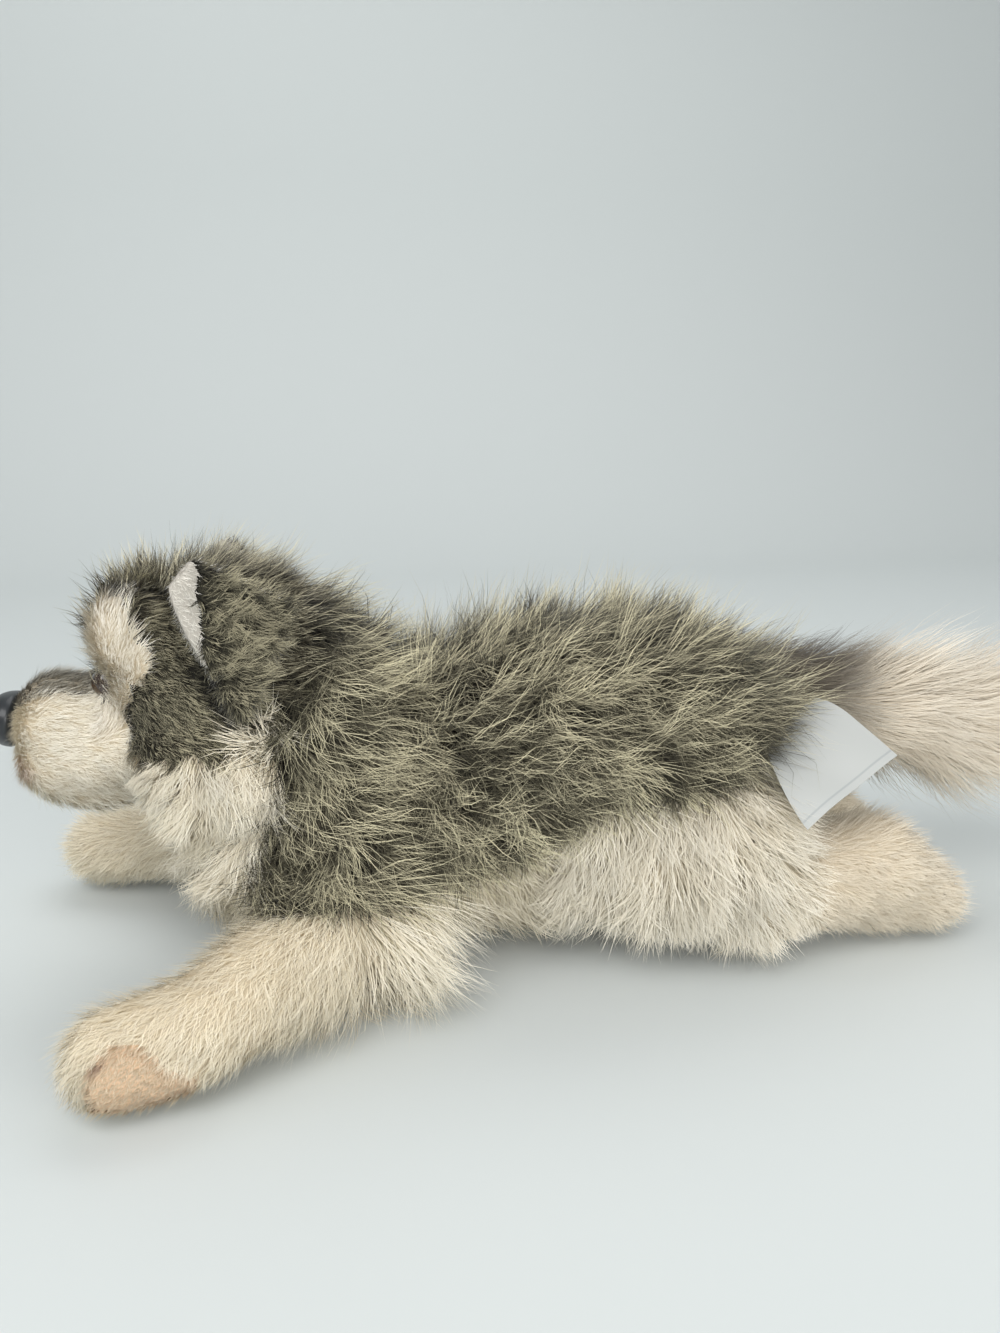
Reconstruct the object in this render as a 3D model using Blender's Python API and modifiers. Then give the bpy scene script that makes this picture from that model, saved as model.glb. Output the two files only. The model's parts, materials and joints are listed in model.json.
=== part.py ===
"""A plush wolf that lies on its belly, with its front legs stretched forward and its hind legs
stretched back. The sewn fur panels are shells round one stuffing, and the nose, eyes and label
are pieces of their own. The head points along -X, its left side faces -Y, and the origin is on
the table under the belly."""

import math

import bmesh
import bpy
from mathutils import Matrix, Vector, noise
from mathutils.bvhtree import BVHTree

MM = 0.001

# Gaps and cloth
SEAM_GAP = 0.4 * MM
STUFFING_GAP = 0.4 * MM
FIT_GAP = 0.3 * MM
VOXEL = 4.2 * MM

# Trunk, without its pile
TRUNK_LENGTH = 158 * MM
TRUNK_WIDTH = 84 * MM
TRUNK_HEIGHT = 106 * MM
TRUNK_CENTRE_X = 24 * MM
BELLY_PILE = 5 * MM
COAT_PILE = 15 * MM
CHEST_LENGTH = 98 * MM
CHEST_WIDTH = 90 * MM
CHEST_HEIGHT = 84 * MM
CHEST_CENTRE_X = -60 * MM
CHEST_CENTRE_Z = 47 * MM
NECK_WIDTH = 63 * MM

# Head, without its pile
HEAD_X = -92 * MM
HEAD_Z = 103 * MM
SKULL_LENGTH = 76 * MM
SKULL_WIDTH = 72 * MM
SKULL_HEIGHT = 66 * MM
HEAD_PILE = 9 * MM
CHEEK_WIDTH = 80 * MM
CHEEK_PILE = 4 * MM
RUFF_PILE = 10 * MM
BROW_SIZE = 26 * MM
BROW_SPACING = 36 * MM
MUZZLE_LENGTH = 58 * MM
MUZZLE_WIDTH = 40 * MM
MUZZLE_HEIGHT = 40 * MM
MUZZLE_TIP_X = -160 * MM
MUZZLE_Z = 83 * MM
MUZZLE_PILE = 3.6 * MM
LIP_SPACING = 18 * MM

# Legs, without their pile
LEG_PILE = 4 * MM
FRONT_LEG_ROOT_RADIUS = 19 * MM
FRONT_LEG_RADIUS = 14 * MM
FOOT_LENGTH = 46 * MM
FOOT_WIDTH = 26 * MM
FOOT_HEIGHT = 25 * MM
SHOULDER_SPACING = 68 * MM
SHOULDER_X = -53 * MM
SHOULDER_Z = 29 * MM
LEFT_REACH = Vector((-59, -46)) * MM
RIGHT_REACH = Vector((-88, 25)) * MM
THIGH_LENGTH = 84 * MM
THIGH_HEIGHT = 58 * MM
THIGH_WIDTH = 40 * MM
THIGH_SPACING = 58 * MM
THIGH_CENTRE_X = 62 * MM
THIGH_PILE = 10 * MM
HIND_LEG_RADIUS = 17 * MM
HIND_LEG_SPACING = 64 * MM
HEEL_X = 146 * MM
TOE_X = 164 * MM

# Tail
TAIL_LENGTH = 150 * MM
TAIL_CORE_RADIUS = 10 * MM
TAIL_PILE = 21 * MM
TAIL_DROP = 22 * MM

# Ears
EAR_LOW = (0.18, -0.24)
EAR_TOP = (0.66, 0.74)
EAR_TIP = (-0.18, 1.21)
EAR_LOW_Y = 41 * MM
EAR_TOP_Y = 23 * MM
EAR_TIP_Y = 38 * MM
EAR_BULGE = 9 * MM
EAR_CUP = 4 * MM
EAR_PILE = 5 * MM
EAR_LINING = 2.4 * MM

# Nose, eyes and their lock washers
NOSE_WIDTH = 22 * MM
NOSE_HEIGHT = 18 * MM
NOSE_DOME = 9 * MM
EYE_DIAMETER = 11 * MM
EYE_DOME = 5.6 * MM
STEM_DIAMETER = 3.6 * MM
STEM_LENGTH = 17 * MM
WASHER_DIAMETER = 11 * MM
WASHER_THICKNESS = 1.8 * MM
WASHER_PLACE = 0.72
EYE_SINK = 1.5 * MM

# Care label
LABEL_WIDTH = 40 * MM
LABEL_LENGTH = 32 * MM
LABEL_ROOT = 3 * MM
LABEL_THICKNESS = 0.9 * MM
LABEL_CURL = 3 * MM

# Locks of fur that break up the coat's outside
LOCK_LENGTH = 22 * MM
LOCK_WIDTH = 17 * MM
LOCK_DEPTH = 4 * MM

# Toe pads
PAD_LENGTH = 28 * MM
PAD_HEIGHT = 21 * MM

OUTER_TRIANGLES = 1980
SKIN_TRIANGLES = 410
TAIL_TRIANGLES = 330
EAR_STEPS = 4
ROUND_STEPS = 10
REACH = 260 * MM
BODY_SINK = 2.4 * MM
NUDGES = [0, 0.03 * MM, -0.05 * MM, 0.08 * MM, -0.11 * MM, 0.15 * MM]

# Places that follow from the sizes above
LEFT_SHOULDER = Vector((SHOULDER_X, -SHOULDER_SPACING / 2, SHOULDER_Z))
RIGHT_SHOULDER = Vector((SHOULDER_X - 8 * MM, SHOULDER_SPACING / 2, SHOULDER_Z))
LEFT_FOOT = Vector((SHOULDER_X + LEFT_REACH.x, -SHOULDER_SPACING / 2 + LEFT_REACH.y, 0))
RIGHT_FOOT = Vector((SHOULDER_X + RIGHT_REACH.x, SHOULDER_SPACING / 2 + RIGHT_REACH.y, 0))
TRUNK_END_X = TRUNK_CENTRE_X + TRUNK_LENGTH / 2
TAIL_ROOT_X = TRUNK_END_X - 14 * MM
TAIL_ROOT_Z = BELLY_PILE + TRUNK_HEIGHT * 0.82

COLOURS = {
    "grizzled_coat": ((0.20, 0.18, 0.14), 0.95),
    "cheek_pile": ((0.12, 0.11, 0.09), 0.95),
    "cream_pile": ((0.72, 0.66, 0.54), 0.95),
    "tail_pile": ((0.66, 0.58, 0.46), 0.95),
    "paw_suede": ((0.70, 0.52, 0.36), 0.9),
    "ear_lining": ((0.76, 0.72, 0.66), 0.9),
    "nose_plastic": ((0.02, 0.022, 0.026), 0.3),
    "eye_plastic": ((0.03, 0.016, 0.008), 0.08),
    "washer_plastic": ((0.75, 0.75, 0.72), 0.5),
    "label_satin": ((0.84, 0.86, 0.86), 0.45),
    "polyester_fill": ((0.9, 0.9, 0.88), 1.0),
}


def clear_scene():
    for obj in list(bpy.data.objects):
        bpy.data.objects.remove(obj, do_unlink=True)


def new_collection(name, hidden=False):
    collection = bpy.data.collections.new(name)
    bpy.context.scene.collection.children.link(collection)
    collection.hide_render = hidden
    return collection


def finish(name):
    """The Principled material of this name, made once."""
    made = bpy.data.materials.get(name)
    if made:
        return made
    colour, roughness = COLOURS[name]
    made = bpy.data.materials.new(name)
    made.use_nodes = True
    shader = made.node_tree.nodes["Principled BSDF"]
    shader.inputs["Base Color"].default_value = (*colour, 1)
    shader.inputs["Roughness"].default_value = roughness
    shader.inputs["Metallic"].default_value = 0
    made.diffuse_color = (*colour, 1)
    return made


def add_object(name, mesh, collection):
    obj = bpy.data.objects.new(name, mesh)
    collection.objects.link(obj)
    if collection is cutters:
        obj.hide_render = True
        obj.display_type = "WIRE"
    return obj


def evaluated(obj):
    """A new mesh of the object with its modifiers applied, in world space."""
    bpy.context.view_layer.update()
    graph = bpy.context.evaluated_depsgraph_get()
    mesh = bpy.data.meshes.new_from_object(obj.evaluated_get(graph), depsgraph=graph)
    mesh.transform(obj.matrix_world)
    return mesh


def baked(obj, name=None):
    """Replaces the object by a plain mesh object of its evaluated shape."""
    mesh = evaluated(obj)
    collection = obj.users_collection[0]
    wanted = name or obj.name
    bpy.data.objects.remove(obj, do_unlink=True)
    return add_object(wanted, mesh, collection)


# Soft forms: overlapping ellipsoids that a voxel remesh joins


def add_ellipsoid(body, centre, radii):
    place = Matrix.Translation(centre) @ Matrix.Diagonal((*radii, 1))
    bmesh.ops.create_icosphere(body, subdivisions=3, radius=1, matrix=place)


def add_limb(body, start, end, start_radius, end_radius, steps=9):
    """A tapered limb as a row of overlapping balls."""
    for i in range(steps):
        share = i / (steps - 1)
        radius = start_radius + (end_radius - start_radius) * share
        add_ellipsoid(body, start.lerp(end, share), (radius, radius, radius))


def trunk_forms(body, piled):
    """Trunk, chest, neck and thighs. piled adds the depth of the fur."""
    coat, belly = (COAT_PILE, BELLY_PILE) if piled else (0, 0)
    thigh = THIGH_PILE if piled else 0
    lift = (coat - belly) / 2
    mean = (coat + belly) / 2
    middle_z = BELLY_PILE + TRUNK_HEIGHT / 2
    for share, tall in ((-0.24, TRUNK_HEIGHT * 0.485), (0, TRUNK_HEIGHT / 2), (0.26, TRUNK_HEIGHT / 2)):
        height = middle_z + lift + tall - TRUNK_HEIGHT / 2
        centre = Vector((TRUNK_CENTRE_X + share * TRUNK_LENGTH / 2, 0, height))
        radii = (TRUNK_LENGTH * 0.37 + mean * 0.7, TRUNK_WIDTH / 2 + mean, tall + mean)
        add_ellipsoid(body, centre, radii)
    chest = Vector((CHEST_CENTRE_X, 0, CHEST_CENTRE_Z))
    chest_pile = RUFF_PILE * 0.8 if piled else 0
    add_ellipsoid(
        body,
        chest,
        (CHEST_LENGTH / 2 + chest_pile, CHEST_WIDTH / 2 + chest_pile, CHEST_HEIGHT / 2 + chest_pile),
    )
    nape = Vector((HEAD_X + SKULL_LENGTH * 0.32, 0, HEAD_Z - SKULL_HEIGHT * 0.26))
    withers = Vector((CHEST_CENTRE_X + CHEST_LENGTH * 0.3, 0, middle_z - NECK_WIDTH * 0.1))
    neck = NECK_WIDTH / 2 + coat * 0.8
    add_limb(body, nape, withers, neck, neck)
    for side in (-1, 1):
        hip = Vector((THIGH_CENTRE_X, side * THIGH_SPACING / 2, BELLY_PILE + THIGH_HEIGHT * 0.6))
        radii = (THIGH_LENGTH / 2 + thigh, THIGH_WIDTH / 2 + thigh, THIGH_HEIGHT / 2 + thigh * 0.6)
        add_ellipsoid(body, hip, radii)


def head_forms(body, piled):
    """Skull, cheeks, brows, muzzle, lips and lower jaw."""
    crown = HEAD_PILE if piled else 0
    cheek = CHEEK_PILE if piled else 0
    ruff = RUFF_PILE if piled else 0
    muzzle = MUZZLE_PILE if piled else 0
    head = Vector((HEAD_X, 0, HEAD_Z))
    skull_lift = Vector((0, 0, (crown - cheek) / 2))
    half = (SKULL_LENGTH / 2, SKULL_WIDTH / 2, SKULL_HEIGHT / 2)
    add_ellipsoid(body, head + skull_lift, (half[0] + crown * 0.8, half[1] + cheek, half[2] + crown))
    for side in (-1, 1):
        jowl = head + Vector((-0.02 * SKULL_LENGTH, side * CHEEK_WIDTH * 0.24, -0.36 * SKULL_HEIGHT))
        size = CHEEK_WIDTH * 0.26
        add_ellipsoid(body, jowl, (size * 1.35 + ruff, size + ruff * 0.7, size * 1.1 + ruff * 0.8))
        brow = head + Vector((-0.36 * SKULL_LENGTH, side * BROW_SPACING / 2, 0.26 * SKULL_HEIGHT))
        size = BROW_SIZE / 2 + cheek
        add_ellipsoid(body, brow, (size * 0.86, size * 0.9, size * 1.15))
    root_x = MUZZLE_TIP_X + MUZZLE_LENGTH
    bridge = Vector((MUZZLE_TIP_X + MUZZLE_LENGTH / 2, 0, MUZZLE_Z + MUZZLE_HEIGHT * 0.14))
    add_ellipsoid(
        body,
        bridge,
        (MUZZLE_LENGTH / 2 + muzzle, MUZZLE_WIDTH * 0.42 + muzzle, MUZZLE_HEIGHT * 0.36 + muzzle),
    )
    for side in (-1, 1):
        lip_x = MUZZLE_TIP_X + MUZZLE_WIDTH * 0.38
        lip = Vector((lip_x, side * LIP_SPACING / 2, MUZZLE_Z - MUZZLE_HEIGHT * 0.12))
        size = MUZZLE_WIDTH * 0.31 + muzzle
        add_limb(body, lip, lip + Vector((0, 0, MUZZLE_HEIGHT * 0.28)), size, size * 0.96, 3)
        flank = Vector((root_x - MUZZLE_LENGTH * 0.3, side * LIP_SPACING / 2, MUZZLE_Z))
        add_limb(body, lip, flank, size, size * 1.15, 5)
    jaw = Vector((MUZZLE_TIP_X + MUZZLE_LENGTH * 0.44, 0, MUZZLE_Z - MUZZLE_HEIGHT * 0.36))
    add_ellipsoid(
        body,
        jaw,
        (MUZZLE_LENGTH * 0.36 + muzzle, MUZZLE_WIDTH * 0.36 + muzzle, MUZZLE_HEIGHT * 0.24 + muzzle),
    )


def foot_centre(foot):
    return Vector((foot.x, foot.y, LEG_PILE + FOOT_HEIGHT / 2))


def leg_forms(body, piled):
    """The four legs with their feet."""
    pile = LEG_PILE if piled else 0
    for shoulder, foot in ((LEFT_SHOULDER, LEFT_FOOT), (RIGHT_SHOULDER, RIGHT_FOOT)):
        sole = foot_centre(foot)
        heel = sole + Vector((FOOT_LENGTH * 0.3, (shoulder.y - sole.y) * 0.12, FOOT_HEIGHT * 0.12))
        add_limb(body, shoulder, heel, FRONT_LEG_ROOT_RADIUS + pile, FRONT_LEG_RADIUS + pile, 11)
        toe = sole - Vector((FOOT_LENGTH / 2 - FOOT_WIDTH / 2, 0, 0))
        add_limb(body, heel, toe, FRONT_LEG_RADIUS + pile, FOOT_HEIGHT / 2 + pile, 7)
    for side in (-1, 1):
        y = side * HIND_LEG_SPACING / 2
        hock = Vector((THIGH_CENTRE_X + THIGH_LENGTH * 0.25, y, LEG_PILE + HIND_LEG_RADIUS * 1.05))
        heel = Vector((HEEL_X - HIND_LEG_RADIUS, y, LEG_PILE + HIND_LEG_RADIUS * 1.5))
        add_limb(body, hock, heel, HIND_LEG_RADIUS + pile, HIND_LEG_RADIUS + pile, 9)
        ball = FOOT_HEIGHT * 0.44
        toe = Vector((TOE_X - ball, y, LEG_PILE + ball))
        add_limb(body, heel, toe, HIND_LEG_RADIUS + pile, ball + pile, 7)
        sole = Vector((HEEL_X - HIND_LEG_RADIUS * 1.4, y, LEG_PILE + ball * 1.2))
        add_limb(body, sole, toe, ball + pile, ball + pile, 5)


def lock_relief(point, along, across):
    """How far a lock of fur stands out: it rises along the comb direction to its tip, in rows
    that are set half a lock apart."""
    row = math.floor(along / LOCK_LENGTH)
    rise = along / LOCK_LENGTH - row
    rise = rise / 0.72 if rise < 0.72 else (1 - rise) / 0.28
    shift = 0.5 * (row % 2) + 0.5 * noise.noise(point / LOCK_LENGTH)
    ridge = 0.5 + 0.5 * math.cos(2 * math.pi * (across / LOCK_WIDTH + shift))
    return LOCK_DEPTH * (rise * (0.3 + 0.7 * ridge) - 0.4)


def shaggy_share(point):
    """1 on the long coat, ruff and thighs, and 0 on the face and feet."""
    back = (point.x - (HEAD_X - SKULL_LENGTH * 0.1)) / (SKULL_LENGTH * 0.3)
    rear = (THIGH_CENTRE_X + THIGH_LENGTH * 0.5 - point.x) / (THIGH_LENGTH * 0.2)
    high = (point.z - FOOT_HEIGHT * 0.3) / FOOT_HEIGHT
    inward = (TRUNK_WIDTH * 0.68 - abs(point.y)) / (TRUNK_WIDTH * 0.1)
    return max(0, min(1, back, rear + max(0, point.z - THIGH_HEIGHT) / LOCK_LENGTH, high, inward))


def relief_on_body(point):
    middle_z = BELLY_PILE + TRUNK_HEIGHT / 2
    around = math.atan2(point.y, point.z - middle_z) * TRUNK_WIDTH / 2
    down = abs(around)
    along = point.x * 0.85 + down * 0.5
    return shaggy_share(point) * lock_relief(point, along, around + point.x * 0.15)


def relief_on_tail(point):
    around = math.atan2(point.y, point.z - tail_axis(0.6).z) * (TAIL_CORE_RADIUS + TAIL_PILE)
    return lock_relief(point, point.x * 1.1, around) * 0.6


def untangle(mesh):
    """Eases the few faces that the reduction has pushed through each other."""
    for _ in range(20):
        body = bmesh.new()
        body.from_mesh(mesh)
        body.faces.ensure_lookup_table()
        tree = BVHTree.FromBMesh(body)
        crossed = set()
        for first, second in tree.overlap(tree):
            a, b = set(body.faces[first].verts), set(body.faces[second].verts)
            if not a & b:
                crossed |= a | b
        ordered = sorted(crossed, key=lambda v: v.index)
        middles = []
        for vertex in ordered:
            near = [e.other_vert(vertex).co for e in vertex.link_edges]
            middles.append(sum(near, Vector()) / len(near))
        for vertex, middle in zip(ordered, middles):
            vertex.co = vertex.co.lerp(middle, 0.6)
        body.to_mesh(mesh)
        body.free()
        if not crossed:
            break


def ease_creases(mesh):
    """Rounds the points where the reduction has left a fold too sharp to inset."""
    body = bmesh.new()
    body.from_mesh(mesh)
    for _ in range(12):
        body.normal_update()
        sharp = [v for v in body.verts if min(v.normal.dot(f.normal) for f in v.link_faces) < 0.7]
        moves = []
        for vertex in sharp:
            near = [e.other_vert(vertex).co for e in vertex.link_edges]
            moves.append(sum(near, Vector()) / len(near))
        for vertex, middle in zip(sharp, moves):
            vertex.co = vertex.co.lerp(middle, 0.3)
        if not sharp:
            break
    body.to_mesh(mesh)
    body.free()


def soft_body(name, fill, piled, triangles, relief=None):
    """One closed mesh of the joined forms, standing on the table."""
    body = bmesh.new()
    fill(body, piled)
    mesh = bpy.data.meshes.new(name)
    body.to_mesh(mesh)
    body.free()
    obj = add_object(name, mesh, cutters)
    remesh = obj.modifiers.new("joined", "REMESH")
    remesh.mode = "VOXEL"
    remesh.voxel_size = VOXEL
    remesh.adaptivity = 0
    smooth = obj.modifiers.new("softened", "SMOOTH")
    smooth.factor = 0.5
    smooth.iterations = 5
    obj = baked(obj)
    mesh = obj.data
    if relief:
        normals = [v.normal.copy() for v in mesh.vertices]
        for vertex, normal in zip(mesh.vertices, normals):
            vertex.co += normal * relief(vertex.co)
    floor = 0 if piled else BELLY_PILE * 0.8
    for vertex in mesh.vertices:
        vertex.co.z = max(vertex.co.z - (BODY_SINK if piled else 0), floor)
    reduce = obj.modifiers.new("reduced", "DECIMATE")
    reduce.ratio = triangles / (2 * len(mesh.polygons))
    obj.modifiers.new("triangles", "TRIANGULATE")
    obj = baked(obj)
    if not piled:
        ease_creases(obj.data)
    for vertex in obj.data.vertices:
        if piled and vertex.co.z < SEAM_GAP:
            vertex.co.z = 0
    untangle(obj.data)
    return obj


def whole_body(body, piled):
    trunk_forms(body, piled)
    head_forms(body, piled)
    leg_forms(body, piled)


def tail_axis(share):
    """A point on the tail's middle line, from its root at 0 to its tip at 1."""
    start = Vector((TAIL_ROOT_X, 0, TAIL_ROOT_Z))
    drop = TAIL_DROP * math.sin(min(1, share * 1.3) * math.pi / 2)
    return start + Vector((TAIL_LENGTH * share, 0, -drop))


def tail_forms(body, piled):
    steps = 14
    for i in range(steps):
        share = i / (steps - 1)
        bush = TAIL_PILE * min(1, 0.15 + 1.7 * share) * math.sqrt(1 - 0.5 * share ** 4)
        size = TAIL_CORE_RADIUS + bush
        reach = share * (TAIL_LENGTH - TAIL_PILE - TAIL_CORE_RADIUS) / TAIL_LENGTH
        add_ellipsoid(body, tail_axis(reach), (size * 0.8, size * 0.8, size))


# Cutters that part the fur into its sewn panels


def turn_to(axis):
    """The turn that lays a drawn outline across this axis: Y for a side view, X for a front
    view and Z for a plan."""
    rows = {
        "X": ((0, 0, 1), (1, 0, 0), (0, 1, 0)),
        "Y": ((1, 0, 0), (0, 0, -1), (0, 1, 0)),
        "Z": ((1, 0, 0), (0, 1, 0), (0, 0, 1)),
    }[axis]
    return Matrix(rows).to_4x4()


def outline_prism(name, points, axis, low, high, rounded=True):
    """A prism of a smooth closed outline, from low to high along the axis."""
    curve = bpy.data.curves.new(name, "CURVE")
    curve.dimensions = "2D"
    curve.fill_mode = "BOTH"
    curve.extrude = (high - low) / 2
    curve.resolution_u = 2
    spline = curve.splines.new("BEZIER")
    spline.bezier_points.add(len(points) - 1)
    for knot, point in zip(spline.bezier_points, points):
        knot.co = (point[0], point[1], 0)
        knot.handle_left_type = knot.handle_right_type = "AUTO" if rounded else "VECTOR"
    spline.use_cyclic_u = True
    obj = add_object(name, curve, cutters)
    middle = (low + high) / 2
    along = {"X": (middle, 0, 0), "Y": (0, middle, 0), "Z": (0, 0, middle)}[axis]
    obj.matrix_world = Matrix.Translation(along) @ turn_to(axis)
    mesh = evaluated(obj)
    bpy.data.objects.remove(obj, do_unlink=True)
    weld_and_face_out(mesh)
    return add_object(name, mesh, cutters)


def weld_and_face_out(mesh):
    body = bmesh.new()
    body.from_mesh(mesh)
    bmesh.ops.remove_doubles(body, verts=body.verts, dist=0.01 * MM)
    bmesh.ops.recalc_face_normals(body, faces=body.faces)
    body.to_mesh(mesh)
    body.free()


def grown(obj, by):
    """A copy whose every face has moved out by about this distance."""
    mesh = obj.data.copy()
    body = bmesh.new()
    body.from_mesh(mesh)
    body.normal_update()
    moves = []
    for vertex in body.verts:
        normals = []
        for face in vertex.link_faces:
            if all(face.normal.dot(n) < 0.9 for n in normals):
                normals.append(face.normal.copy())
        total = sum(normals, Vector())
        reach = max(0.35, min(total.dot(n) for n in normals)) if normals else 1
        moves.append(total / reach * by)
    for vertex, move in zip(body.verts, moves):
        vertex.co += move
    body.to_mesh(mesh)
    body.free()
    return add_object(obj.name + "_grown", mesh, cutters)


def combined(obj, cutter, operation, name=None):
    """The object cut by, joined to or kept inside the cutter, as a new mesh object."""
    boolean = obj.modifiers.new("cut", "BOOLEAN")
    boolean.operation = operation
    boolean.solver = "EXACT"
    boolean.object = cutter
    mesh = evaluated(obj)
    obj.modifiers.remove(boolean)
    return add_object(name or obj.name, mesh, obj.users_collection[0])


def measured(mesh):
    """The mesh's volume, or none where it isn't closed."""
    body = bmesh.new()
    body.from_mesh(mesh)
    closed = all(len(e.link_faces) == 2 for e in body.edges)
    volume = body.calc_volume() if closed else None
    body.free()
    return volume


def replace_mesh(obj, source):
    """Gives the object the mesh of the source, which goes."""
    obj.data = source.data
    bpy.data.objects.remove(source, do_unlink=True)


def cut_away(obj, cutter):
    """Cuts the cutter out of the object. A cut that comes out open or lost is done again with
    the cutter a few hundredths of a millimetre aside."""
    before = measured(obj.data)
    room = measured(cutter.data)
    for step in NUDGES:
        cutter.location = Vector((step, step * 0.7, -step * 0.4))
        result = combined(obj, cutter, "DIFFERENCE")
        after = measured(result.data)
        if after and before - room * 1.001 < after <= before * 1.0001 and after > before * 0.3:
            break
        if step != NUDGES[-1]:
            bpy.data.objects.remove(result, do_unlink=True)
    cutter.location = Vector()
    replace_mesh(obj, result)


def keep_largest(mesh):
    """Drops the slivers that a cut may leave beside the main body."""
    body = bmesh.new()
    body.from_mesh(mesh)
    left = set(body.faces)
    islands = []
    while left:
        island, edge = set(), [left.pop()]
        while edge:
            face = edge.pop()
            island.add(face)
            for side in face.edges:
                for near in side.link_faces:
                    if near in left:
                        left.discard(near)
                        edge.append(near)
        islands.append(island)
    islands.sort(key=lambda faces: sum(f.calc_area() for f in faces), reverse=True)
    spare = [face for island in islands[1:] for face in island]
    bmesh.ops.delete(body, geom=spare, context="FACES")
    body.to_mesh(mesh)
    body.free()


def take_panels(shell, wanted, cutter=None):
    """Cuts the panels inside the prisms out of the shell, and leaves a seam gap round them.
    wanted holds (name, prism, colour), and cutter is one prism that spans them all."""
    panels = []
    for name, prism, colour in wanted:
        for step in NUDGES:
            prism.location = Vector((step, step * 0.7, -step * 0.4))
            panel = combined(shell, prism, "INTERSECT", name)
            if measured(panel.data):
                break
            bpy.data.objects.remove(panel, do_unlink=True)
        panels.append(panel)
    for source in [cutter] if cutter else [prism for name, prism, colour in wanted]:
        wider = grown(source, SEAM_GAP)
        cut_away(shell, wider)
        bpy.data.objects.remove(wider, do_unlink=True)
    for panel, (name, prism, colour) in zip(panels, wanted):
        to_plush(panel)
        dress(panel, colour)
    return panels


def dress(obj, colour):
    keep_largest(obj.data)
    weld_and_face_out(obj.data)
    obj.data.materials.clear()
    obj.data.materials.append(finish(colour))
    obj.data.shade_smooth()
    obj.data.set_sharp_from_angle(angle=math.radians(40))
    return obj


# Outlines, in shares of half the head's, muzzle's or trunk's length and height


def on_head(u, v):
    return (HEAD_X + u * SKULL_LENGTH / 2, HEAD_Z + v * SKULL_HEIGHT / 2)


def on_muzzle(u, v):
    middle = MUZZLE_TIP_X + MUZZLE_LENGTH / 2
    return (middle + u * MUZZLE_LENGTH / 2, MUZZLE_Z + v * MUZZLE_HEIGHT / 2)


def on_trunk(u, v):
    half = TRUNK_HEIGHT / 2
    return (TRUNK_CENTRE_X + u * TRUNK_LENGTH / 2, BELLY_PILE + half + v * half)


BROW_OUTLINE = [(-1.16, 0.42), (-1.0, 0.86), (-0.7, 1.0), (-0.47, 0.78), (-0.45, 0.4), (-0.62, 0.0),
                (-0.74, -0.4), (-0.86, -0.42), (-0.9, 0.0)]
CHEEK_OUTLINE = [(-0.5, 0.95), (-0.2, 1.05), (-0.02, 0.45), (0.3, -0.18), (0.1, -0.4), (-0.24, -0.5),
                 (-0.56, -0.46), (-0.73, -0.3), (-0.6, 0.12), (-0.4, 0.5)]
RUFF_OUTLINE = [(-0.76, -0.44), (-0.5, -0.54), (-0.22, -0.55), (0.06, -0.2), (0.34, -0.22), (0.4, -0.8),
                (0.2, -1.4), (0.08, -1.78), (-0.5, -1.76), (-0.95, -1.5), (-1.0, -0.95)]
CROWN_OUTLINE = [(-1.3, 0.18), (-1.6, 0.9), (-1.0, 1.9), (0.55, 1.9), (0.72, 1.0), (0.62, 0.2),
                 (0.4, -0.14), (0.0, -0.1), (-0.6, -0.1), (-1.0, 0.06)]
BRIDGE_OUTLINE = [(-1.3, 0.72), (-1.2, 1.6), (0.6, 1.6), (0.75, 1.1), (0.6, 0.82), (-0.4, 0.78)]
CHIN_OUTLINE = [(-1.1, -0.62), (-1.3, -1.6), (0.6, -1.9), (0.7, -0.95), (0.2, -0.78), (-0.5, -0.7)]
MUZZLE_OUTLINE = [(-1.5, -0.6), (-1.5, 1.0), (-0.4, 1.5), (0.42, 1.3), (0.5, 0.7), (0.52, 0.1), (0.75, -0.6),
                  (0.6, -1.4), (-0.4, -1.3)]
COAT_OUTLINE = [(-1.26, 0.72), (-1.26, 2.4), (1.5, 2.4), (1.5, 0.9), (1.06, 0.62), (0.8, 0.42), (0.42, 0.18),
                (0.06, 0.18), (-0.16, 0.02), (-0.38, -0.16), (-0.72, -0.3), (-1.12, -0.3), (-1.48, -0.16),
                (-1.42, 0.3)]
THIGH_OUTLINE = [(0.02, 0.16), (-0.16, -0.2), (-0.06, -0.62), (-0.04, -1.4), (1.1, -1.4), (1.45, -0.5),
                 (1.45, 0.75), (1.1, 0.66), (0.8, 0.44), (0.42, 0.2)]


def drawn(outline, place):
    return [place(u, v) for u, v in outline]


def mirrored_panels(shell, base, outline, colour, inner, rounded=True, outer=REACH):
    """The left and the right panel of one outline, each from inner to outer."""
    near = max(inner, SEAM_GAP / 2)
    wanted = []
    for side, low, high in (("left", -outer, -near), ("right", near, outer)):
        name = f"{base}_{side}"
        prism = outline_prism(name + "_outline", outline, "Y", low, high, rounded)
        wanted.append((name, prism, colour))
    span = None if inner else outline_prism(base + "_span", outline, "Y", -outer, outer, rounded)
    return take_panels(shell, wanted, span)


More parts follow.
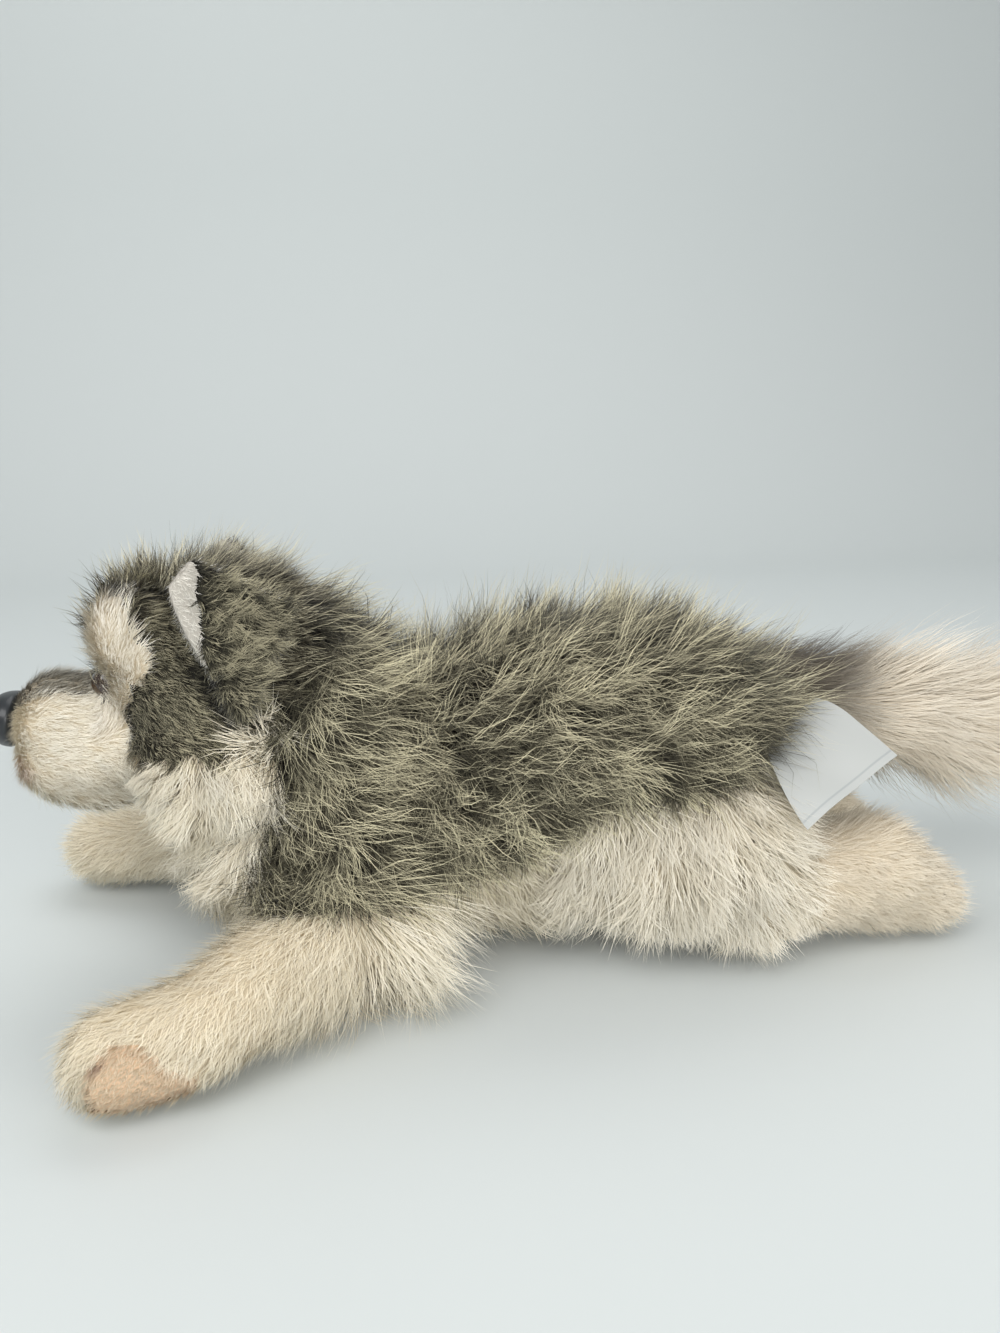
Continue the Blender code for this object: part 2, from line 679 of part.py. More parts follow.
def leg_outline(shoulder, foot):
    """A plan outline round one front leg, open towards the chest at its root seam."""
    side = math.copysign(1, shoulder.y)
    along = (foot - shoulder).to_2d().normalized()
    across = Vector((-along.y, along.x))
    root = shoulder.to_2d() + along * FRONT_LEG_ROOT_RADIUS * 0.7
    wide = FRONT_LEG_ROOT_RADIUS * 2.0
    tip = foot.to_2d() + Vector((-FOOT_LENGTH, 0))
    outer = foot.to_2d() + Vector((FOOT_LENGTH * 0.4, side * FOOT_WIDTH * 1.6))
    inner = foot.to_2d() + Vector((-FOOT_LENGTH * 0.2, -side * FOOT_WIDTH * 1.3))
    out_root = root + across * wide * (1 if across.y * side > 0 else -1)
    in_root = root - across * wide * 0.8 * (1 if across.y * side > 0 else -1)
    far = tip + Vector((0, side * FOOT_WIDTH * 1.4))
    near = tip + Vector((0, -side * FOOT_WIDTH))
    return [tuple(p) for p in (in_root, out_root, outer, far, near, inner)]


def cut_legs(shell):
    for side, shoulder, foot in (("left", LEFT_SHOULDER, LEFT_FOOT), ("right", RIGHT_SHOULDER, RIGHT_FOOT)):
        outwards = math.copysign(1, shoulder.y)
        edge = foot.y + outwards * FOOT_WIDTH * 0.1
        low, high = sorted((edge, edge + outwards * REACH))
        front = foot.x - FOOT_LENGTH * 0.42
        back = front + PAD_LENGTH
        pad = [(front, PAD_HEIGHT * 0.4), (front + PAD_LENGTH * 0.16, PAD_HEIGHT * 0.92),
               (front + PAD_LENGTH * 0.4, PAD_HEIGHT), (front + PAD_LENGTH * 0.75, PAD_HEIGHT * 0.62),
               (back, PAD_HEIGHT * 0.34), (back - PAD_LENGTH * 0.2, PAD_HEIGHT * 0.1),
               (front + PAD_LENGTH * 0.2, PAD_HEIGHT * 0.1)]
        name = f"front_pad_{side}"
        prism = outline_prism(name + "_outline", pad, "Y", low, high)
        take_panels(shell, [(name, prism, "paw_suede")])
        name = f"front_leg_{side}"
        top = shoulder.z + FRONT_LEG_ROOT_RADIUS + LEG_PILE
        outline = leg_outline(shoulder, foot)
        prism = outline_prism(name + "_outline", outline, "Z", -REACH, top, rounded=False)
        take_panels(shell, [(name, prism, "cream_pile")])
    seam_x = THIGH_CENTRE_X + THIGH_LENGTH * 0.46
    top = LEG_PILE * 2 + HIND_LEG_RADIUS * 2.6
    outline = [(seam_x, -REACH), (REACH, -REACH), (REACH, top), (seam_x, top)]
    mirrored_panels(shell, "hind_leg", outline, "cream_pile", 0, rounded=False)


def cut_face(shell):
    """The panels of the face. Gives back those that the nose and the eyes go through."""
    brows = mirrored_panels(shell, "brow", drawn(BROW_OUTLINE, on_head), "cream_pile", BROW_SPACING * 0.14)
    half = MUZZLE_WIDTH * 0.28
    prism = outline_prism("bridge_outline", drawn(BRIDGE_OUTLINE, on_muzzle), "Y", -half, half)
    bridge = take_panels(shell, [("muzzle_bridge", prism, "cheek_pile")])[0]
    prism = outline_prism("chin_outline", drawn(CHIN_OUTLINE, on_muzzle), "Y", -REACH, REACH)
    take_panels(shell, [("chin", prism, "cream_pile")])
    muzzles = mirrored_panels(shell, "muzzle", drawn(MUZZLE_OUTLINE, on_muzzle), "cream_pile", 0)
    mirrored_panels(shell, "cheek", drawn(CHEEK_OUTLINE, on_head), "cheek_pile", SKULL_WIDTH * 0.2)
    mirrored_panels(shell, "ruff", drawn(RUFF_OUTLINE, on_head), "cream_pile", MUZZLE_WIDTH * 0.35)
    prism = outline_prism("crown_outline", drawn(CROWN_OUTLINE, on_head), "Y", -REACH, REACH)
    crown = take_panels(shell, [("crown", prism, "grizzled_coat")])[0]
    return [*brows, bridge, *muzzles, crown]


def to_plush(obj):
    cutters.objects.unlink(obj)
    plush.objects.link(obj)
    obj.hide_render = False
    obj.display_type = "TEXTURED"


def shifted_skin(obj, by, name):
    """A copy whose every face has moved out by this distance or more, or in where by is
    below 0."""
    mesh = obj.data.copy()
    body = bmesh.new()
    body.from_mesh(mesh)
    body.normal_update()
    moves = []
    for vertex in body.verts:
        steepest = min(vertex.normal.dot(face.normal) for face in vertex.link_faces)
        moves.append(vertex.normal * by / max(0.4, steepest))
    for vertex, move in zip(body.verts, moves):
        vertex.co += move
    body.to_mesh(mesh)
    body.free()
    return add_object(name, mesh, cutters)


def draw_back(obj, wall, gap):
    """Moves the points of a body inwards where it comes within the gap of the wall round it."""
    mesh = obj.data
    outside = bmesh.new()
    outside.from_mesh(wall.data)
    outside.verts.ensure_lookup_table()
    limit = BVHTree.FromBMesh(outside)
    for _ in range(60):
        body = bmesh.new()
        body.from_mesh(mesh)
        body.normal_update()
        body.faces.ensure_lookup_table()
        tree = BVHTree.FromBMesh(body)
        close = set()
        for mine, theirs in tree.overlap(limit):
            close |= set(body.faces[mine].verts)
        for vertex in body.verts:
            spot, normal, index, reach = limit.find_nearest(vertex.co)
            if (spot - vertex.co).dot(normal) < gap * 0.8:
                close.add(vertex)
        for vertex in outside.verts:
            spot, normal, index, reach = tree.find_nearest(vertex.co)
            if reach < gap * 0.8:
                close |= set(body.faces[index].verts)
        ordered = sorted(close, key=lambda v: v.index)
        moves = [v.normal * -gap * 0.5 for v in ordered]
        for vertex, move in zip(ordered, moves):
            near = [e.other_vert(vertex).co for e in vertex.link_edges]
            middle = sum(near, Vector()) / len(near)
            vertex.co = vertex.co.lerp(middle, 0.04) + move
        body.to_mesh(mesh)
        body.free()
        if not ordered:
            break
    outside.free()


def make_tail(outer):
    """The bushy tail, one piece whose root ends where the coat begins."""
    tail = soft_body("tail", tail_forms, False, TAIL_TRIANGLES, relief_on_tail)
    stop = shifted_skin(outer, SEAM_GAP * 1.5, "tail_stop")
    cut_away(tail, stop)
    bpy.data.objects.remove(stop, do_unlink=True)
    to_plush(tail)
    dress(tail, "tail_pile")


# Ears


def ear_point(side, u, v):
    """A point of the ear's cloth: v runs from its seam on the head to its tip, and u from its
    free front edge to its back edge."""
    tie = lambda spot, y: Vector((on_head(*spot)[0], side * y, on_head(*spot)[1]))
    low, top, tip = tie(EAR_LOW, EAR_LOW_Y), tie(EAR_TOP, EAR_TOP_Y), tie(EAR_TIP, EAR_TIP_Y)
    front, back = low.lerp(tip, v), top.lerp(tip, v)
    outwards = (low + tip) / 2 - top
    front += outwards.normalized() * EAR_BULGE * math.sin(math.pi * v)
    point = front.lerp(back, u)
    cup = EAR_CUP * math.sin(math.pi * u) * (1 - v * 0.5)
    return point + Vector((0, side * cup, 0))


def make_ear(side, outer):
    name = "left" if side < 0 else "right"
    stop = shifted_skin(outer, SEAM_GAP * 1.5, "ear_stop")
    for kind, depth, inset, start, colour in (
        ("ear", EAR_PILE, 0, 0, "grizzled_coat"),
        ("ear_lining", EAR_LINING, 0.05, -EAR_LINING - SEAM_GAP, "ear_lining"),
    ):
        body = bmesh.new()
        steps = EAR_STEPS
        rows = []
        for j in range(steps + 1):
            v = inset * 0.5 + j / steps * (0.93 - inset)
            cells = [inset + i / steps * (1 - 2 * inset) for i in range(steps + 1)]
            rows.append([body.verts.new(ear_point(side, u, v)) for u in cells])
        for lower, upper in zip(rows, rows[1:]):
            for i in range(steps):
                body.faces.new((lower[i], lower[i + 1], upper[i + 1], upper[i]))
        bmesh.ops.recalc_face_normals(body, faces=body.faces)
        facing = sum((f.normal * f.calc_area() for f in body.faces), Vector())
        if facing.y * side < 0:
            bmesh.ops.reverse_faces(body, faces=body.faces)
        body.normal_update()
        for vertex in body.verts:
            vertex.co += vertex.normal * start
        mesh = bpy.data.meshes.new(f"{kind}_{name}")
        body.to_mesh(mesh)
        body.free()
        ear = add_object(f"{kind}_{name}", mesh, cutters)
        thick = ear.modifiers.new("pile", "SOLIDIFY")
        thick.thickness = depth
        thick.offset = 1
        soft = ear.modifiers.new("softened", "SMOOTH")
        soft.factor = 0.5
        soft.iterations = 2
        ear = baked(ear)
        weld_and_face_out(ear.data)
        cut_away(ear, stop)
        to_plush(ear)
        dress(ear, colour)
    bpy.data.objects.remove(stop, do_unlink=True)


# Nose, eyes and washers


def lathed(name, profile, steps, collection):
    """A solid turned round its own Z axis from a profile of (radius, height) points."""
    body = bmesh.new()
    verts = [body.verts.new((radius, 0, height)) for radius, height in profile]
    for a, b in zip(verts, verts[1:]):
        body.edges.new((a, b))
    if profile[0][0] > 0:
        body.edges.new((verts[-1], verts[0]))
    mesh = bpy.data.meshes.new(name)
    body.to_mesh(mesh)
    body.free()
    obj = add_object(name, mesh, collection)
    turn = obj.modifiers.new("turned", "SCREW")
    turn.angle = 2 * math.pi
    turn.steps = steps
    turn.render_steps = steps
    turn.screw_offset = 0
    turn.use_merge_vertices = True
    turn.merge_threshold = 0.01 * MM
    obj = baked(obj)
    weld_and_face_out(obj.data)
    return obj


def button_profile(diameter, dome):
    """Half the section of a domed button with its stem, from the stem's end to the dome's top."""
    radius = diameter / 2
    rim = [(radius * math.cos(a), dome * math.sin(a)) for a in (0.0, 0.4, 0.8, 1.2)]
    stem = STEM_DIAMETER / 2
    return [(0, -STEM_LENGTH), (stem, -STEM_LENGTH), (stem, 0), *rim, (0, dome)]


def seat_at(surface, start, direction):
    """Where a ray meets the cloth, and the turn that sets a button there facing back along it."""
    hit, normal, index, reach = surface.ray_cast(start, direction)
    turn = (-direction).to_track_quat("Z", "Y").to_matrix().to_4x4()
    return Matrix.Translation(hit) @ turn


def touches(first, second):
    """Whether the two objects' surfaces cross."""
    trees = []
    for obj in (first, second):
        body = bmesh.new()
        body.from_mesh(obj.data)
        trees.append(BVHTree.FromBMesh(body))
        body.free()
    return bool(trees[0].overlap(trees[1]))


def set_button(name, diameter, dome, place, squash, colour, panels, stuffing):
    """A button on the cloth, its washer in the filling, and the room that both need."""
    button = lathed(name, button_profile(diameter, dome), ROUND_STEPS, plush)
    shape = Matrix.Diagonal((squash, 1, 1, 1))
    button.data.transform(place @ shape)
    hole = STEM_DIAMETER / 2 + FIT_GAP
    outer = WASHER_DIAMETER / 2
    low = -STEM_LENGTH * WASHER_PLACE - WASHER_THICKNESS
    high = low + WASHER_THICKNESS
    rim = button_profile(diameter + 2 * FIT_GAP, dome + FIT_GAP)[3:]
    wide = outer + FIT_GAP
    room = lathed(
        name + "_room",
        [(0, -STEM_LENGTH - FIT_GAP), (hole, -STEM_LENGTH - FIT_GAP), (hole, low - FIT_GAP),
         (wide, low - FIT_GAP), (wide, high + FIT_GAP), (hole, high + FIT_GAP), (hole, -FIT_GAP),
         (rim[0][0], -FIT_GAP), *rim],
        ROUND_STEPS,
        cutters,
    )
    room.data.transform(place @ shape)
    for piece in [*panels, stuffing]:
        if touches(piece, room):
            cut_away(piece, room)
            if piece in panels:
                dress(piece, piece.data.materials[0].name)
    ring = [(hole, low), (outer, low), (outer, high), (hole, high)]
    washer = lathed(name + "_washer", ring, ROUND_STEPS, plush)
    washer.data.transform(place @ shape)
    dress(washer, "washer_plastic")
    bpy.data.objects.remove(room, do_unlink=True)
    dress(button, colour)


# Care label


def make_label(panels, stuffing):
    """A blank folded label that comes out of the seam over the left hip."""
    seam_top = Vector((TRUNK_END_X + 5 * MM, -TRUNK_WIDTH * 0.32, TAIL_ROOT_Z + 1 * MM))
    down = Vector((-34, -8.5, -19.6)).normalized()
    out = Vector((14, -26, -13)).normalized()
    facing = down.cross(out).normalized()
    out = facing.cross(down)
    body = bmesh.new()
    rows = []
    for j in range(5):
        reach = -LABEL_ROOT + (LABEL_LENGTH + LABEL_ROOT) * j / 4
        curl = LABEL_CURL * max(0, reach / LABEL_LENGTH) ** 2
        row = []
        for i in range(5):
            spot = seam_top + down * LABEL_WIDTH * i / 4 + out * reach
            bow = LABEL_CURL * 0.5 * math.sin(math.pi * i / 4)
            row.append(body.verts.new(spot - facing * (curl - bow)))
        rows.append(row)
    for lower, upper in zip(rows, rows[1:]):
        for i in range(4):
            body.faces.new((lower[i], lower[i + 1], upper[i + 1], upper[i]))
    mesh = bpy.data.meshes.new("care_label")
    body.to_mesh(mesh)
    body.free()
    label = add_object("care_label", mesh, plush)
    thick = label.modifiers.new("plies", "SOLIDIFY")
    thick.thickness = LABEL_THICKNESS
    thick.offset = 0
    label = baked(label)
    weld_and_face_out(label.data)
    room = grown(label, FIT_GAP)
    for panel in panels:
        if touches(panel, room):
            cut_away(panel, room)
            dress(panel, panel.data.materials[0].name)
    if touches(stuffing, room):
        cut_away(stuffing, room)
    bpy.data.objects.remove(room, do_unlink=True)
    dress(label, "label_satin")


def main():
    outer = soft_body("pile_surface", whole_body, True, OUTER_TRIANGLES, relief_on_body)
    skin = soft_body("skin_surface", whole_body, False, SKIN_TRIANGLES)
    shell = combined(outer, skin, "DIFFERENCE", "shell")
    face = cut_face(shell)
    outline = drawn(COAT_OUTLINE, on_trunk)
    widest = TRUNK_WIDTH * 0.66
    coats = mirrored_panels(shell, "coat", outline, "grizzled_coat", 0, outer=widest)
    cut_legs(shell)
    inner = HIND_LEG_SPACING * 0.2
    thighs = mirrored_panels(shell, "thigh", drawn(THIGH_OUTLINE, on_trunk), "cream_pile", inner)
    belly = shell
    belly.name = "belly"
    to_plush(belly)
    dress(belly, "cream_pile")
    stuffing = shifted_skin(skin, -STUFFING_GAP * 1.4, "stuffing")
    draw_back(stuffing, skin, STUFFING_GAP)
    to_plush(stuffing)
    graph = bpy.context.evaluated_depsgraph_get()
    cloth = BVHTree.FromObject(skin, graph)
    fur = BVHTree.FromObject(outer, graph)
    high = Vector((MUZZLE_TIP_X - REACH / 4, 0, MUZZLE_Z + MUZZLE_HEIGHT * 0.16))
    place = seat_at(cloth, high, Vector((1, 0, -0.06)).normalized())
    squash = NOSE_WIDTH / NOSE_HEIGHT
    set_button("nose", NOSE_HEIGHT, NOSE_DOME, place, squash, "nose_plastic", face, stuffing)
    for side, name in ((-1, "eye_left"), (1, "eye_right")):
        inwards = Vector((0.93, -side * 0.3, -0.2)).normalized()
        x = MUZZLE_TIP_X + MUZZLE_LENGTH * 0.5
        spot = Vector((x, side * BROW_SPACING * 0.36, HEAD_Z + SKULL_HEIGHT * 0.02))
        place = Matrix.Translation(inwards * EYE_SINK) @ seat_at(fur, spot - inwards * REACH / 4, inwards)
        set_button(name, EYE_DIAMETER, EYE_DOME, place, 1, "eye_plastic", face, stuffing)
    make_label([coats[0], thighs[0], belly], stuffing)
    dress(stuffing, "polyester_fill")
    make_tail(outer)
    for side in (-1, 1):
        make_ear(side, outer)


clear_scene()
plush = new_collection("plush_wolf")
cutters = new_collection("cutters", hidden=True)
main()
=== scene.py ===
"""The looks of the plush wolf: a soft stuffed skin in the places of the CAD filling, with the pile
of every sewn panel grown on it as strands of fur, and its nose, eyes and blank label."""

import json
import math

import bmesh
import bpy
import numpy as np
from mathutils import Matrix, Vector
from mathutils.bvhtree import BVHTree

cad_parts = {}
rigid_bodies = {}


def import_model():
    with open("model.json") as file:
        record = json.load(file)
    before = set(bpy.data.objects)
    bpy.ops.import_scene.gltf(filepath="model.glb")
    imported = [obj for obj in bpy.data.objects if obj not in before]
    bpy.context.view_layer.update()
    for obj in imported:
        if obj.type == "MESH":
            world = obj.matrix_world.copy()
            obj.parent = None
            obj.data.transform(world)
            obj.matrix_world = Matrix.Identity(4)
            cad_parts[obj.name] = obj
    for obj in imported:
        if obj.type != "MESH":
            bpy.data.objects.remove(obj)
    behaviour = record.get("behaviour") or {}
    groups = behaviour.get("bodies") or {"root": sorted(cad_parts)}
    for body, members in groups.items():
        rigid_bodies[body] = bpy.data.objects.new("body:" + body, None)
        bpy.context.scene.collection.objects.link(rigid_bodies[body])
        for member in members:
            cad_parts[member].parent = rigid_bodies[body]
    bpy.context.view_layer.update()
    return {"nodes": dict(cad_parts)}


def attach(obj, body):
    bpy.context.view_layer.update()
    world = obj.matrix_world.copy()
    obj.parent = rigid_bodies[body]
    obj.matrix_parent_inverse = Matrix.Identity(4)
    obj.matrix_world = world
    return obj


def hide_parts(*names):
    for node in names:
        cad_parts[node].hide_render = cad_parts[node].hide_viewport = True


for spare in list(bpy.data.objects):
    bpy.data.objects.remove(spare, do_unlink=True)
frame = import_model()
NODES = frame["nodes"]
SCENE = bpy.context.scene
MM = 0.001

# Sizes of the stuffed forms, the same as the CAD part's
BELLY_PILE = 5 * MM
TRUNK_LENGTH = 158 * MM
TRUNK_WIDTH = 84 * MM
TRUNK_HEIGHT = 106 * MM
TRUNK_CENTRE_X = 24 * MM
CHEST_SIZE = Vector((98, 90, 84)) * MM
CHEST_CENTRE = Vector((-60, 0, 47)) * MM
NECK_WIDTH = 63 * MM
HEAD = Vector((-92, 0, 103)) * MM
SKULL_SIZE = Vector((76, 72, 66)) * MM
CHEEK_WIDTH = 80 * MM
BROW_SIZE = 26 * MM
BROW_SPACING = 36 * MM
MUZZLE_LENGTH = 58 * MM
MUZZLE_WIDTH = 40 * MM
MUZZLE_HEIGHT = 40 * MM
MUZZLE_TIP_X = -160 * MM
MUZZLE_Z = 83 * MM
LIP_SPACING = 18 * MM
LEG_PILE = 4 * MM
FRONT_LEG_ROOT_RADIUS = 19 * MM
FRONT_LEG_RADIUS = 14 * MM
FOOT_LENGTH = 46 * MM
FOOT_WIDTH = 26 * MM
FOOT_HEIGHT = 25 * MM
SHOULDERS = {"left": Vector((-53, -34, 29)) * MM, "right": Vector((-61, 34, 29)) * MM}
FEET = {"left": Vector((-112, -80, 0)) * MM, "right": Vector((-141, 59, 0)) * MM}
THIGH_LENGTH = 84 * MM
THIGH_HEIGHT = 58 * MM
THIGH_WIDTH = 40 * MM
THIGH_SPACING = 58 * MM
THIGH_CENTRE_X = 62 * MM
HIND_LEG_RADIUS = 17 * MM
HIND_LEG_SPACING = 64 * MM
HEEL_X = 146 * MM
TOE_X = 164 * MM
TAIL_LENGTH = 150 * MM
TAIL_DROP = 22 * MM
TAIL_ROOT = Vector((89, 0, 92)) * MM
LABEL_WIDTH = 40 * MM
LABEL_LENGTH = 32 * MM
LABEL_SEWN = 3 * MM

# Places and sizes that the dressing adds
LABEL_SEAM_Z = 92.92 * MM
LABEL_DOWN = Vector((-34, -8.5, -19.6))
LABEL_OUT = Vector((14, -26, -13))
LABEL_SPOT = Vector((92, -30, 84)) * MM
NOSE_SPOT = Vector((-160.2, 0, 89.5)) * MM
NOSE_SIZE = Vector((9, 22, 18)) * MM
NOSE_TURN = math.radians(8)
EYE_SPOTS = {"left": Vector((-127, -13, 105)) * MM, "right": Vector((-127, 13, 105)) * MM}
EYE_SINK = 6.3 * MM
BROW_INNER = 14 * MM
CHEST_TUFT = [Vector((-52, -34, 24)) * MM, Vector((-60, 34, 24)) * MM]
CHEST_REACH = 26 * MM
PAD_RISE = 3.2 * MM
JAW_Z = 62 * MM
FACE_X = -98 * MM
PAW_Z = 40 * MM
PAW_X = -80 * MM
PAW_SHIFT = Vector((-6, 0, -5)) * MM

VOXEL = 2 * MM
SOFTENING = 22
SKIN_TRIANGLES = 12000


# Node trees


class Term:
    """A socket that Python's operators work on. Each operation adds a node of maths."""

    def __init__(self, tree, socket):
        self.tree = tree
        self.socket = socket
        self.wide = socket.type in ("VECTOR", "RGBA")

    def __add__(self, other):
        return self.tree.maths("ADD", self, other)

    def __radd__(self, other):
        return self.tree.maths("ADD", other, self)

    def __sub__(self, other):
        return self.tree.maths("SUBTRACT", self, other)

    def __rsub__(self, other):
        return self.tree.maths("SUBTRACT", other, self)

    def __mul__(self, other):
        return self.tree.maths("MULTIPLY", self, other)

    def __rmul__(self, other):
        return self.tree.maths("MULTIPLY", other, self)

    def __truediv__(self, other):
        return self.tree.maths("DIVIDE", self, other)

    def __pow__(self, other):
        return self.tree.maths("POWER", self, other)


class Tree:
    """Adds nodes to a node tree."""

    def __init__(self, tree):
        self.tree = tree

    def feed(self, socket, value):
        if isinstance(value, Term):
            self.tree.links.new(value.socket, socket)
        elif isinstance(value, bpy.types.NodeSocket):
            self.tree.links.new(value, socket)
        else:
            socket.default_value = value

    def add(self, kind, settings=None, inputs=None):
        """A node of this type, with its settings made before its inputs are fed."""
        node = self.tree.nodes.new(kind)
        for name, value in (settings or {}).items():
            setattr(node, name, value)
        for key, value in (inputs or {}).items():
            self.feed(node.inputs[key], value)
        return node

    def term(self, kind, output=0, settings=None, inputs=None):
        return Term(self, self.add(kind, settings, inputs).outputs[output])

    def maths(self, operation, *values):
        """A Math node for numbers, and a Vector Math node where a value is a vector or a colour."""
        settings = {"operation": operation}
        wide = [isinstance(v, (tuple, Vector)) or isinstance(v, Term) and v.wide for v in values]
        if not any(wide):
            return self.term("ShaderNodeMath", 0, settings, dict(enumerate(values)))
        if operation == "MULTIPLY" and not all(wide):
            vector, number = values if wide[0] else values[::-1]
            inputs = {0: vector, "Scale": number}
            return self.term("ShaderNodeVectorMath", 0, {"operation": "SCALE"}, inputs)
        filled = [v if isinstance(v, (Term, tuple, Vector)) else (v, v, v) for v in values]
        output = "Value" if operation in ("DOT_PRODUCT", "DISTANCE") else "Vector"
        return self.term("ShaderNodeVectorMath", output, settings, dict(enumerate(filled)))

    def blend(self, share, first, second):
        """first where share is 0 and second where it is 1, for colours or vectors."""
        node = self.tree.nodes.new("ShaderNodeMix")
        node.data_type = "RGBA"
        sockets = [s for s in node.inputs if s.enabled]
        for socket, value in zip(sockets, (share, first, second)):
            if isinstance(value, tuple) and len(value) == 3:
                value = (*value, 1)
            self.feed(socket, value)
        return Term(self, [s for s in node.outputs if s.enabled][0])

    def ease(self, value, low, high):
        """0 below low, 1 above high, with a soft step between."""
        settings = {"interpolation_type": "SMOOTHSTEP"}
        return self.term("ShaderNodeMapRange", 0, settings, {0: value, 1: low, 2: high, 3: 0.0, 4: 1.0})


def from_srgb(red, green, blue):
    """A linear colour from values of 0 to 255 as a picture shows them."""
    parts = [v / 255 for v in (red, green, blue)]
    return tuple(v / 12.92 if v <= 0.04045 else ((v + 0.055) / 1.055) ** 2.4 for v in parts)


# Stuffed forms: overlapping ellipsoids that a voxel remesh joins


def add_ellipsoid(body, centre, radii):
    place = Matrix.Translation(centre) @ Matrix.Diagonal((*radii, 1))
    bmesh.ops.create_icosphere(body, subdivisions=4, radius=1, matrix=place)


def add_limb(body, start, end, start_radius, end_radius, steps=13):
    """A tapered limb as a row of overlapping balls."""
    for i in range(steps):
        share = i / (steps - 1)
        radius = start_radius + (end_radius - start_radius) * share
        add_ellipsoid(body, start.lerp(end, share), (radius, radius, radius))


def trunk_forms(body):
    half = TRUNK_HEIGHT / 2
    middle_z = BELLY_PILE + half
    for share, tall in ((-0.24, TRUNK_HEIGHT * 0.485), (0, half), (0.26, half)):
        x = TRUNK_CENTRE_X + share * TRUNK_LENGTH / 2
        centre = Vector((x, 0, middle_z + tall - half))
        add_ellipsoid(body, centre, (TRUNK_LENGTH * 0.37, TRUNK_WIDTH / 2, tall))
    add_ellipsoid(body, CHEST_CENTRE, CHEST_SIZE / 2)
    nape = HEAD + Vector((SKULL_SIZE.x * 0.32, 0, -SKULL_SIZE.z * 0.26))
    withers = Vector((CHEST_CENTRE.x + CHEST_SIZE.x * 0.3, 0, middle_z - NECK_WIDTH * 0.1))
    add_limb(body, nape, withers, NECK_WIDTH / 2, NECK_WIDTH / 2)
    for side in (-1, 1):
        hip = Vector((THIGH_CENTRE_X, side * THIGH_SPACING / 2, BELLY_PILE + THIGH_HEIGHT * 0.6))
        add_ellipsoid(body, hip, (THIGH_LENGTH / 2, THIGH_WIDTH / 2, THIGH_HEIGHT / 2))


def head_forms(body):
    add_ellipsoid(body, HEAD, SKULL_SIZE / 2)
    for side in (-1, 1):
        jowl = HEAD + Vector((-0.02 * SKULL_SIZE.x, side * CHEEK_WIDTH * 0.24, -0.36 * SKULL_SIZE.z))
        size = CHEEK_WIDTH * 0.26
        add_ellipsoid(body, jowl, (size * 1.35, size, size * 1.1))
        brow = HEAD + Vector((-0.36 * SKULL_SIZE.x, side * BROW_SPACING / 2, 0.26 * SKULL_SIZE.z))
        size = BROW_SIZE * 0.46
        add_ellipsoid(body, brow, (size * 0.86, size * 0.9, size * 1.15))
    root_x = MUZZLE_TIP_X + MUZZLE_LENGTH
    bridge = Vector((MUZZLE_TIP_X + MUZZLE_LENGTH / 2, 0, MUZZLE_Z + MUZZLE_HEIGHT * 0.14))
    add_ellipsoid(body, bridge, (MUZZLE_LENGTH / 2, MUZZLE_WIDTH * 0.42, MUZZLE_HEIGHT * 0.36))
    lip_z = MUZZLE_Z - MUZZLE_HEIGHT * 0.12
    for side in (-1, 1):
        lip = Vector((MUZZLE_TIP_X + MUZZLE_WIDTH * 0.38, side * LIP_SPACING / 2, lip_z))
        size = MUZZLE_WIDTH * 0.31
        add_limb(body, lip, lip + Vector((0, 0, MUZZLE_HEIGHT * 0.28)), size, size * 0.96, 5)
        flank = Vector((root_x - MUZZLE_LENGTH * 0.3, side * LIP_SPACING / 2, MUZZLE_Z))
        add_limb(body, lip, flank, size, size * 1.15, 7)
    jaw = Vector((MUZZLE_TIP_X + MUZZLE_LENGTH * 0.44, 0, MUZZLE_Z - MUZZLE_HEIGHT * 0.36))
    add_ellipsoid(body, jaw, (MUZZLE_LENGTH * 0.36, MUZZLE_WIDTH * 0.36, MUZZLE_HEIGHT * 0.24))
    snout = Vector((MUZZLE_TIP_X + MUZZLE_LENGTH * 0.22, 0, MUZZLE_Z + MUZZLE_HEIGHT * 0.24))
    add_ellipsoid(body, snout, (MUZZLE_LENGTH * 0.2, MUZZLE_WIDTH * 0.38, MUZZLE_HEIGHT * 0.28))


def leg_forms(body):
    for side, shoulder in SHOULDERS.items():
        sole = FEET[side] + Vector((0, 0, LEG_PILE + FOOT_HEIGHT / 2))
        heel = sole + Vector((FOOT_LENGTH * 0.3, (shoulder.y - sole.y) * 0.12, FOOT_HEIGHT * 0.12))
        add_limb(body, shoulder, heel, FRONT_LEG_ROOT_RADIUS, FRONT_LEG_RADIUS, 17)
        toe = sole - Vector((FOOT_LENGTH / 2 - FOOT_WIDTH / 2, 0, 0))
        add_limb(body, heel, toe, FRONT_LEG_RADIUS, FOOT_HEIGHT / 2, 11)
    for side in (-1, 1):
        y = side * HIND_LEG_SPACING / 2
        hock = Vector((THIGH_CENTRE_X + THIGH_LENGTH * 0.25, y, LEG_PILE + HIND_LEG_RADIUS * 1.05))
        heel = Vector((HEEL_X - HIND_LEG_RADIUS, y, LEG_PILE + HIND_LEG_RADIUS * 1.5))
        add_limb(body, hock, heel, HIND_LEG_RADIUS, HIND_LEG_RADIUS, 13)
        ball = FOOT_HEIGHT * 0.44
        toe = Vector((TOE_X - ball, y, LEG_PILE + ball))
        add_limb(body, heel, toe, HIND_LEG_RADIUS, ball, 11)
        sole = Vector((HEEL_X - HIND_LEG_RADIUS * 1.4, y, LEG_PILE + ball * 1.2))
        add_limb(body, sole, toe, ball, ball, 7)


def body_forms(body):
    trunk_forms(body)
    head_forms(body)
    leg_forms(body)


